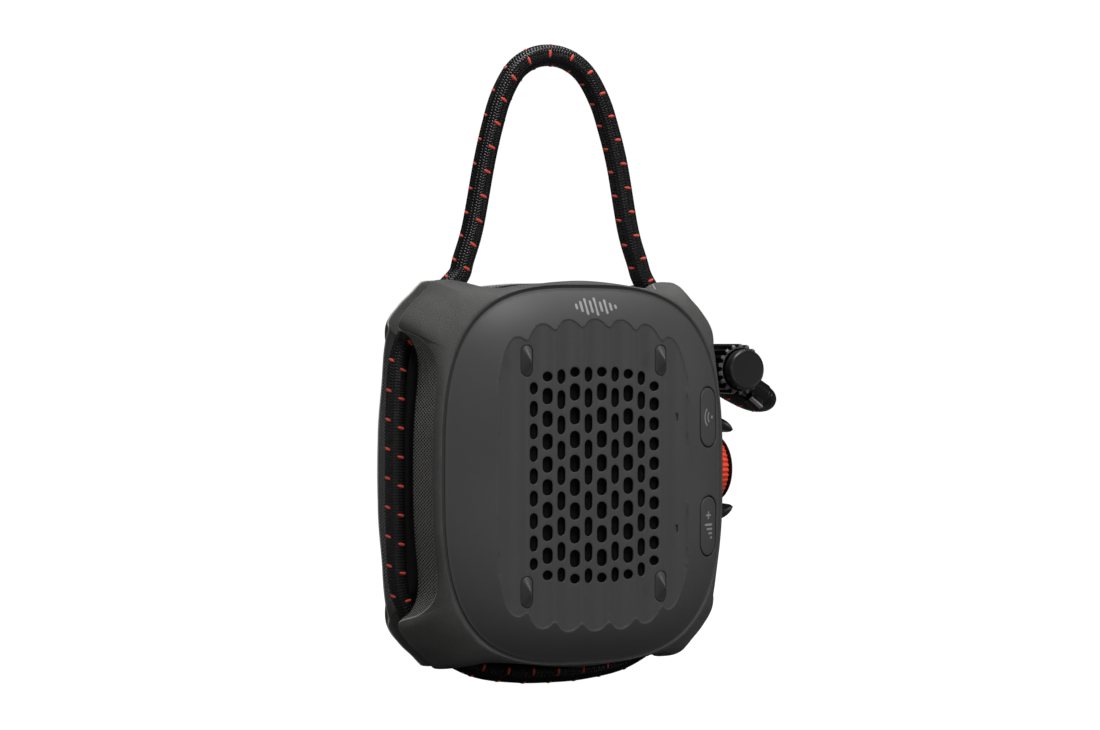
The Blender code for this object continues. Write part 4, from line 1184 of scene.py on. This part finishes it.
class SPEAKER_OT_shells(bpy.types.Operator):
    """Builds the frame with its corner lugs, the side bands and the cord's groove"""

    bl_idname = "speaker.shells"
    bl_label = "Frame and bands"

    def execute(self, context):
        self.make_half(-1, "front", SEAM_Y, 0.0174)
        self.make_half(1, "rear", REAR_SEAM_Y, REAR_RIM_Y)
        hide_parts("shell_gasket")
        return {"FINISHED"}

    def make_half(self, side, label, seam_y, rim_y):
        gap = settings().housing.seam
        turns, radii, stands = rim_ring()
        stands = np.minimum(stands, rim_y)
        plate = ellipse_radius(turns)
        halves = groove_halves(stands)
        bottoms = groove_bottoms(turns, radii)
        flip = side > 0

        def row(distance, y):
            return ring_points(turns, distance, side * y)

        floor_y, start_r = seam_y - SEAM_DEPTH, plate + gap + SEAM_LIP
        rows = [
            row(plate - 0.0005, floor_y),
            row(plate + gap - 0.0001, floor_y),
            row(plate + gap, floor_y + 0.0001),
            row(plate + gap + 0.00008, seam_y - 0.00012),
            row(start_r, seam_y),
        ]
        run, fall = radii - start_r, seam_y - stands
        bend_r = start_r + run * 0.72
        bend_y = seam_y - np.minimum(fall * 0.5, run * 0.45)
        for share in np.linspace(0, 1, 17)[1:]:
            near, middle, far = (1 - share) ** 2, 2 * share * (1 - share), share**2
            distance = near * start_r + middle * bend_r + far * radii
            rows.append(row(distance, near * seam_y + middle * bend_y + far * stands))
        for turn in (0.35, 0.7, 1.05, 1.4):
            rows.append(row(radii - RIM_ROUND * (1 - cos(turn)), stands - RIM_ROUND * sin(turn)))
        zones = np.zeros((len(rows) - 1, len(turns)), int)
        # The seam's floor rows take the seam finish: painted shade.
        zones[:2] = 2
        # The rim's edge rows take the rim finish: a painted highlight.
        zones[-4:-1] = 1
        mesh = rows_mesh(f"{label}_frame", rows, flip=flip, zones=zones)
        finishes = [frame_finish(), rim_highlight_finish(), seam_shade_finish()]
        show(f"{label}_frame", mesh, finishes, "housing", [f"{label}_shell"])

        sunk = radii - BAND_SINK
        band_top = np.maximum(stands - RIM_ROUND, halves + 0.00015)
        shares = np.linspace(0, 1, 9)
        band_rows = [row(sunk, band_top + (halves + 0.0001 - band_top) * share) for share in shares]
        edge = lengths_along(np.concatenate([band_rows[0], band_rows[0][:1]]))
        widths = np.concatenate([band_top - halves, (band_top - halves)[:1]])
        full = np.concatenate([halves, halves[:1]])
        uv = [np.stack([edge, full + widths * (1 - share)], -1) for share in shares]
        band = rows_mesh(f"{label}_band", band_rows, uv=uv, flip=flip)
        show(f"{label}_band", band, [weave_finish()], "housing")

        groove_rows = [
            row(sunk, halves + 0.0001),
            row(sunk - 0.00006, halves),
            row(sunk - 0.0003, halves - 0.00012),
            row(np.minimum(bottoms + 0.0008, sunk - 0.0004), halves - 0.00012),
            row(bottoms + 0.0003, halves - 0.0003),
            row(bottoms, halves - 0.0008),
            row(bottoms, -0.0002),
        ]
        levels = [0.0, 0.0001, 0.0003, 0.0020, 0.0030, 0.0036, 0.0066]
        uv = [np.stack([edge, np.full_like(edge, level)], -1) for level in levels]
        zones = np.zeros((len(groove_rows) - 1, len(turns)), int)
        zones[:3, stands < LUG_STAND] = 1
        zones[4:, np.abs(turns - pi / 2) < 0.5] = 2
        groove = rows_mesh(f"{label}_groove", groove_rows, uv=uv, flip=flip, zones=zones)
        finishes = [groove_finish(), frame_finish(), weave_finish()]
        show(f"{label}_groove", groove, finishes, "housing")


class SPEAKER_OT_front_cover(bpy.types.Operator):
    """Builds the domed front cover with its flutes and slots, the fins, the buttons and the print"""

    bl_idname = "speaker.front_cover"
    bl_label = "Front cover"

    def execute(self, context):
        shell = cover_mesh("front_cover_shell", front_walls(), cover_height, SEAM_Y, COVER_STEP)
        finishes = [cover_finish(), shadow_finish()]
        show("front_cover_shell", shell, finishes, "housing", ["front_cover"])
        self.make_cloth()
        for number, centre in enumerate(corners(STUD_CENTRE), 1):
            name = f"grille_fin_{number}"
            mesh = self.fin_mesh(name, centre)
            show(name, mesh, [cover_finish()], "housing", [f"grille_stud_{number}"])
        for label, side in (("wireless", 1), ("boost", -1)):
            centre = (BUTTON_CENTRE[0], side * BUTTON_CENTRE[1])
            mesh = surface_patch(f"{label}_key", BUTTON_SIZE, centre, 0.00005, 0.00035, 0.0014)
            show(f"{label}_key", mesh, [cover_finish()], label, [f"{label}_button"])
            icon = self.wireless_icon() if side > 0 else self.boost_icon()
            mesh = printed(f"{label}_icon", icon, centre, radians(90), 0.00008)
            show(f"{label}_icon", mesh, [print_and_highlight_finish()], label)
        mark = printed("front_mark", self.mark(), (0.0012, 0.0452))
        show("front_mark", mark, [print_and_highlight_finish()], "housing")
        return {"FINISHED"}

    def make_cloth(self):
        low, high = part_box("grille_mesh")
        across = np.linspace(low.x, high.x, 93)
        up = np.linspace(low.z, high.z, 129) - MIDDLE_Z
        grid = np.array([[(x, low.y + 0.0002, z) for x in across] for z in up])
        grid[..., 1] += 0.00004 * np.sin(grid[..., 0] * 4100) * np.sin(grid[..., 2] * 4100)
        mesh = rows_mesh("grille_cloth", grid, round_trip=False, flip=True)
        show("grille_cloth", mesh, [knit_finish()], "housing", ["grille_mesh"])

    def fin_mesh(self, name, centre):
        """A pill set flush in its recess, with a narrow faceted fin standing on it."""
        width, length, peak, gap = STUD_SIZE[0], STUD_SIZE[1], 0.0021, 0.00018
        rows = []
        for inset, depth in ((gap, 0.0011), (gap, 0.00012), (gap + 0.00012, 0.00003)):
            row = surface(obround(width - 2 * inset, length - 2 * inset, centre, 8))
            row[:, 1] += depth
            rows.append(row)
        floor = surface([centre])[0][1]
        for share in (1.0, 0.75, 0.5, 0.25, 0.06):
            outline = obround(width * (0.64 * share + 0.04), length * (0.80 * share + 0.05), centre, 8)
            rows.append([(x, floor - peak * (1 - share), z) for x, z in outline])
        return rows_mesh(name, rows, ends=True, angle=28)

    def wireless_icon(self):
        """A dot with two rising waves."""
        dot = obround(0.0009, 0.0009, (0, -0.0014), 6)
        waves = [arc_band(radius, 0.00042, radians(42), radians(138)) for radius in (0.0018, 0.0031)]
        return [dot, *[wave + (0, -0.0014) for wave in waves]]

    def boost_icon(self):
        """Bars that grow in height, and a plus beside them."""
        outlines = []
        for k in range(4):
            centre = (-0.0032 + 0.0012 * k, -0.0011 + 0.0004 * k)
            outlines.append(obround(0.0006, 0.0010 + 0.0008 * k, centre, 5))
        for size in ((0.0005, 0.0022), (0.0022, 0.0005)):
            outlines.append(obround(*size, (0.0030, 0.0002), 5))
        return outlines

    def mark(self):
        """A plain row of sound-level bars."""
        heights = [0.0016, 0.0030, 0.0046, 0.0034, 0.0050, 0.0028, 0.0040, 0.0022, 0.0012]
        middle = (len(heights) - 1) / 2
        return [obround(0.00075, h, (0.0015 * (k - middle), 0), 6) for k, h in enumerate(heights)]


class SPEAKER_OT_rear_cover(bpy.types.Operator):
    """Builds the back: its cover, feet, screws, port flap and power button"""

    bl_idname = "speaker.rear_cover"
    bl_label = "Rear cover"

    def execute(self, context):
        mesh = cover_mesh("rear_cover_shell", rear_walls(), rear_height, REAR_EDGE_Y, REAR_STEP)
        for vert in mesh.vertices:
            vert.co.y = -vert.co.y
        mesh.flip_normals()
        finishes = [cover_finish(), shadow_finish()]
        show("rear_cover_shell", mesh, finishes, "housing", ["rear_cover"])
        for number, centre in enumerate(corners(FOOT_PLACES), 1):
            name = f"rear_pad_{number}"
            outline = obround(2 * FOOT_RADIUS, 2 * FOOT_RADIUS, centre, 16)
            foot = swept(name, outline, REAR_Y, REAR_Y + REAR_GAP + FOOT_HEIGHT, edge=0.0004)
            show(name, foot, [groove_finish()], "housing", [f"rear_foot_{number}"])
        steel = metal_finish("screw_steel", (0.30, 0.30, 0.31), 0.35)
        for number, centre in enumerate(corners(SCREW_PLACES), 1):
            name = f"screw_head_{number}"
            screw = self.screw_mesh(name, centre)
            show(name, screw, [steel], "housing", [f"cover_screw_{number}"])
        self.make_power()
        self.make_flap()
        socket = self.socket_mesh()
        show("charging_socket", socket, [steel], "housing", ["usb_socket"])
        return {"FINISHED"}

    def screw_mesh(self, name, centre):
        """A screw's head, with a six-lobed socket."""
        turns = circle_turns(48)
        top, star = REAR_Y - 0.0004, 0.00075 * (1 + 0.16 * np.cos(6 * turns))
        radii = (SCREW_RADIUS, SCREW_RADIUS, SCREW_RADIUS - 0.0003, star, star)
        rows = []
        for radius, depth in zip(radii, (0.0050, 0.0003, 0.0, 0.0, 0.0009)):
            rows.append(ring_points(turns, radius, top - depth) + (centre[0], 0.0, centre[1]))
        return rows_mesh(name, rows, ends=True, angle=30)

    def make_power(self):
        """The power button, with its usual ring and line."""
        outline = obround(2 * POWER_RADIUS, 2 * POWER_RADIUS, POWER_PLACE, 24)
        face = REAR_Y + 0.0004
        key = swept("power_key", outline, REAR_Y - 0.0022, face, edge=0.0005, segments=4)
        show("power_key", key, [cover_finish()], "power", ["power_button"])
        ring = arc_band(0.0014, 0.00034, radians(125), radians(415), 28)
        line = obround(0.00034, 0.0015, (0, 0.0013), 5)
        for name, outline in (("power_ring", ring), ("power_line", line)):
            mark = swept(name, outline + np.array(POWER_PLACE), face - 0.0001, face + 0.00003, edge=0)
            show(name, mark, [print_and_highlight_finish()], "power")

    def make_flap(self):
        """The rubber flap over the charging port, with a lip for a fingernail."""
        outline = obround(*FLAP_SIZE, (0, FLAP_CENTRE_Z), 12)
        flap = swept("port_flap_pad", outline, REAR_Y - 0.0012, REAR_Y, edge=0.0003)
        show("port_flap_pad", flap, [groove_finish()], "port_flap", ["port_cover"])
        lip = obround(0.0070, 0.0011, (0, FLAP_CENTRE_Z + 0.0030), 8)
        lip = swept("port_flap_lip", lip, REAR_Y - 0.0006, REAR_Y + 0.0005, edge=0.0004)
        show("port_flap_lip", lip, [groove_finish()], "port_flap")

    def socket_mesh(self):
        """The charging socket's drawn steel shell, open at the back."""
        low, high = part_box("usb_socket")
        size = (high.x - low.x, high.z - low.z)
        rows = []
        depths = (low.y, high.y, high.y + 0.00005, high.y, low.y + 0.0008)
        for inset, y in zip((0.0, 0.0, 0.0001, 0.0005, 0.0005), depths):
            outline = obround(size[0] - 2 * inset, size[1] - 2 * inset, (0, FLAP_CENTRE_Z), 8)
            rows.append([(x, y, z) for x, z in outline])
        return rows_mesh("charging_socket", rows, ends=True, angle=40)


def dress(node, finish):
    """Gives a frame node a new material."""
    mesh = frame["nodes"][node].data
    mesh.materials.clear()
    mesh.materials.append(finish)


class SPEAKER_OT_dial(bpy.types.Operator):
    """Builds the knurled volume dial, its cap and the hooked guard around it"""

    bl_idname = "speaker.dial"
    bl_label = "Volume dial"

    def execute(self, context):
        controls = settings().controls
        red = moulded_finish("dial_red", controls.dial, 0.42, 0.00025, 0.00001, 0.08)
        middle_y = (DIAL_LOW.y + DIAL_HIGH.y) / 2
        radius = (DIAL_HIGH.z - DIAL_LOW.z) / 2
        dial = show("dial_ring", self.knurled_ring(radius), [red], "dial", ["volume_dial"])
        dial.data.transform(Matrix.Translation((0, middle_y, 0)))
        lip = CAP_HIGH.x - CAP_EDGE
        profile = rounded_profile(
            [
                (0, CAP_HIGH.x),
                (radius * 0.5, CAP_HIGH.x - 0.0001),
                (radius - 0.0005, lip + 0.0005),
                (radius - 0.0001, lip + 0.0001),
                (radius - 0.0003, lip),
                (radius * 0.45, lip),
                (radius * 0.45, CAP_LOW.x),
                (0, CAP_LOW.x),
            ],
            0.0003,
        )
        cap = screwed("dial_cap_disc", profile, 96, "X")
        cap.transform(Matrix.Translation((0, middle_y, 0)))
        show("dial_cap_disc", cap, [black_finish()], "play_cap", ["dial_cap"])
        self.make_guard()
        dress("dial_shaft", metal_finish("shaft_steel", (0.5, 0.5, 0.51), 0.3))
        return {"FINISHED"}

    def knurled_ring(self, radius):
        """Ribs run along the dial's axis; their ends are rounded off."""
        teeth, per_tooth = 40, 8
        turns = circle_turns(teeth * per_tooth)
        wave = np.clip(0.5 + 0.9 * np.sin(turns * teeth), 0, 1)
        low_x, high_x = DIAL_LOW.x, CAP_HIGH.x - CAP_EDGE - CAP_TRAVEL
        rows = []
        bore = radius * 0.55
        insets = (0.0009, 0.0003, 0.0, 0.0, 0.0, 0.0003, 0.0009)
        for share, inset in zip((0.0, 0.04, 0.12, 0.5, 0.88, 0.96, 1.0), insets):
            reach = radius - inset - 0.0005 * (1 - wave) * (1 - inset / 0.0012)
            x = low_x + (high_x - low_x) * share
            rows.append(np.stack([np.full_like(turns, x), reach * np.cos(turns), reach * np.sin(turns)], -1))
        for x in (high_x, low_x):
            rows.append(np.stack([np.full_like(turns, x), bore * np.cos(turns), bore * np.sin(turns)], -1))
        rows.append(rows[0])
        return rows_mesh("dial_ring", rows, angle=40)

    def make_guard(self):
        """A plate under the dial with a claw-like fin above and below it."""
        tip, base = GUARD_HIGH.x + 0.0012, GUARD_LOW.x
        inner = (DIAL_HIGH.z - DIAL_LOW.z) / 2 + 0.0006
        shares = np.linspace(0, 1, 19)
        corner = circle_turns(32)
        box = [np.sign(wave) * np.abs(wave) ** 0.45 for wave in (np.cos(corner), np.sin(corner))]
        middle_y = (GUARD_LOW.y + GUARD_HIGH.y) / 2
        pieces = []
        for side in (1, -1):
            rows = []
            for share in shares:
                outer_z = inner + 0.0020 + 0.0032 * (1 - share**3.2)
                inner_z = inner + 0.0005 * sin(pi * share) - 0.0002 * share
                half_y = (GUARD_HIGH.y - GUARD_LOW.y) / 2 * (1 - 0.25 * share**3)
                shrink = 0.1 + 0.85 * sqrt(1 - max(0.0, (share - 0.86) / 0.14) ** 2)
                middle_z, half_z = (outer_z + inner_z) / 2, (outer_z - inner_z) / 2 * shrink
                x = np.full_like(corner, base + (tip - base) * share)
                rows.append(np.stack([x, middle_y + half_y * box[0], side * (middle_z + half_z * box[1])], -1))
            pieces.append(rows_mesh("dial_guard_fins", rows, ends=True, flip=side > 0))
        outline = obround(2 * half_y * 1.5, 2 * inner, (middle_y, 0), 12)
        plate = swept("dial_guard_plate", outline, base, base + 0.0010, "X", 0.0002)
        mesh = joined("dial_guard_fins", (*pieces, plate), 40)
        show("dial_guard_fins", mesh, [gloss_finish()], "housing", ["dial_guard"])


class SPEAKER_OT_lock(bpy.types.Operator):
    """Builds the ribbed cord lock, its push cap and the clip on the cord's end"""

    bl_idname = "speaker.lock"
    bl_label = "Cord lock"

    def execute(self, context):
        centre = ((BARREL_LOW.x + BARREL_HIGH.x) / 2, (BARREL_LOW.z + BARREL_HIGH.z) / 2 - MIDDLE_Z)
        shift = Matrix.Translation((centre[0], 0, centre[1]))
        barrel = self.ribbed_barrel()
        barrel.transform(shift)
        # The rib ends and the collar's front are painted light grey as a highlight where they catch the light.
        collar_highlight = moulded_finish("rib_ends_painted_highlight", (0.10, 0.10, 0.10), 0.45, 0.0002, 0.00001, 0.1)
        show("lock_barrel_ribs", barrel, [gloss_finish(), collar_highlight], "housing", ["lock_barrel"])
        radius = (PLUNGER_HIGH.x - PLUNGER_LOW.x) / 2
        front, back = PLUNGER_LOW.y, PLUNGER_HIGH.y - 0.0051
        profile = rounded_profile(
            [
                (0, front + 0.00012),
                (radius - 0.0008, front + 0.00012),
                (radius - 0.0006, front),
                (radius - 0.0001, front + 0.0004),
                (radius, front + 0.0028),
                (radius - 0.0011, front + 0.0028),
                (radius - 0.0011, back),
                (0, back),
            ],
            0.00015,
        )
        plunger = screwed("lock_push_cap", profile, 96, "Y")
        plunger.transform(shift)
        show("lock_push_cap", plunger, [black_finish()], "plunger", ["lock_plunger"])
        self.make_clip()
        dress("lock_plug", black_finish())
        return {"FINISHED"}

    def ribbed_barrel(self):
        """Ribs run along the barrel and end as a toothed collar that the push cap sinks into."""
        ribs, per_rib = 18, 12
        turns = circle_turns(ribs * per_rib)
        wave = np.clip(0.62 - 1.9 * np.cos(turns * ribs), 0, 1)
        front, back = BARREL_LOW.y - 0.0021, BARREL_HIGH.y
        radius, bore = BARREL_RADIUS, BARREL_BORE
        collar = (PLUNGER_HIGH.x - PLUNGER_LOW.x) / 2 + 0.00025
        floor = BARREL_LOW.y + 0.0006
        rows = []
        for y, reach, depth in (
            (front, radius - 0.0005, 0.0006),
            (front + 0.0005, radius, 0.0010),
            (back - 0.0007, radius, 0.0010),
            (back, radius - 0.0007, 0.0004),
        ):
            rows.append((y, reach - depth * (1 - wave)))
        rows += [(back, bore), (floor, bore), (floor, collar)]
        rows += [(front + 0.0002, collar), (front, collar + 0.0002), rows[0]]
        rows = [ring_points(turns, reach, y) for y, reach in rows]
        zones = np.zeros((len(rows) - 1, len(turns)), int)
        # The ribs' front chamfer and the collar's front face take the painted highlight.
        zones[0] = zones[-2:] = 1
        return rows_mesh("lock_barrel_ribs", rows, angle=35, flip=True, zones=zones)

    def bar(self, half, low, high):
        return [(-half, low), (half, low), (half, high), (-half, high)]

    def make_clip(self):
        """A smooth sleeve over the cord's folded end, with a flat tab whose lip is painted light grey as a
        highlight.
        """
        radius = settings().cord.radius + 0.00028
        points = smooth_route(SLEEVE_ROUTE, 0.0004)
        reach = np.full((len(points), 1), radius)
        reach[0] -= 0.0003
        rows = tube_rows(points, circle_turns(48), reach)
        sleeve = rows_mesh("end_sleeve", rows, ends=True, angle=40, flip=True)
        tab = swept("end_tab", self.bar(0.0022, -0.0022, 0.0022), -0.0010, 0.0022, "Y", 0.0003)
        lip = swept("end_lip_painted_highlight", self.bar(0.0023, -0.0025, -0.0020), -0.0013, 0.0, "Y", 0.0001)
        lean = Matrix.Rotation(radians(37), 4, "Y") @ Matrix.Rotation(radians(-28), 4, "X")
        for mesh in (tab, lip):
            mesh.transform(Matrix.Translation(TAB_PLACE) @ lean)
        mesh = joined("end_sleeve", (sleeve, tab), 40)
        show("end_sleeve", mesh, [gloss_finish()], "housing", ["cord_end_clip"])
        # The lip's light grey is a painted highlight along the tab's edge.
        show("end_lip_painted_highlight", lip, [print_and_highlight_finish()], "housing")


class SPEAKER_OT_inside(bpy.types.Operator):
    """Gives the driver, the passive radiator and the electronics their materials"""

    bl_idname = "speaker.inside"
    bl_label = "Inside"

    def execute(self, context):
        steel = metal_finish("basket_steel", (0.45, 0.45, 0.46), 0.35)
        rubber = groove_finish()
        paper = paper_finish()
        for node, finish in (
            ("driver_basket", steel),
            ("driver_magnet", steel),
            ("driver_surround", rubber),
            ("driver_cone", paper),
            ("dust_cap", paper),
            ("voice_coil", metal_finish("coil_copper", (0.70, 0.32, 0.18), 0.3)),
            ("radiator_plate", steel),
            ("radiator_surround", rubber),
            ("radiator_frame", black_finish()),
            ("battery", moulded_finish("battery_wrap", (0.15, 0.18, 0.26), 0.4, 0.0008, 0.00002, 0.1)),
            ("main_board", moulded_finish("board_mask", (0.03, 0.16, 0.06), 0.35, 0.0006, 0.00002, 0.2)),
        ):
            dress(node, finish)
        return {"FINISHED"}


class SPEAKER_PT_panel(bpy.types.Panel):
    """Lists the speaker's pieces"""

    bl_idname = "SPEAKER_PT_panel"
    bl_label = "Shower speaker"
    bl_space_type = "VIEW_3D"
    bl_region_type = "UI"
    bl_category = "Speaker"

    def draw(self, context):
        layout = self.layout
        for operator in OPERATORS:
            layout.operator(operator.bl_idname)
        for group in ("cord", "housing", "controls"):
            column = layout.column()
            values = getattr(context.scene.speaker, group)
            for name in values.__annotations__:
                column.prop(values, name)


OPERATORS = (
    SPEAKER_OT_stage,
    SPEAKER_OT_cord,
    SPEAKER_OT_shells,
    SPEAKER_OT_front_cover,
    SPEAKER_OT_rear_cover,
    SPEAKER_OT_dial,
    SPEAKER_OT_lock,
    SPEAKER_OT_inside,
)
CLASSES = (CordSettings, HousingSettings, ControlSettings, SpeakerSettings, *OPERATORS, SPEAKER_PT_panel)


def register():
    for kind in CLASSES:
        bpy.utils.register_class(kind)
    bpy.types.Scene.speaker = PointerProperty(type=SpeakerSettings)


def unregister():
    del bpy.types.Scene.speaker
    for kind in reversed(CLASSES):
        bpy.utils.unregister_class(kind)


def main():
    register()
    for operator in OPERATORS:
        group, name = operator.bl_idname.split(".")
        getattr(getattr(bpy.ops, group), name)()


if __name__ == "__main__":
    main()
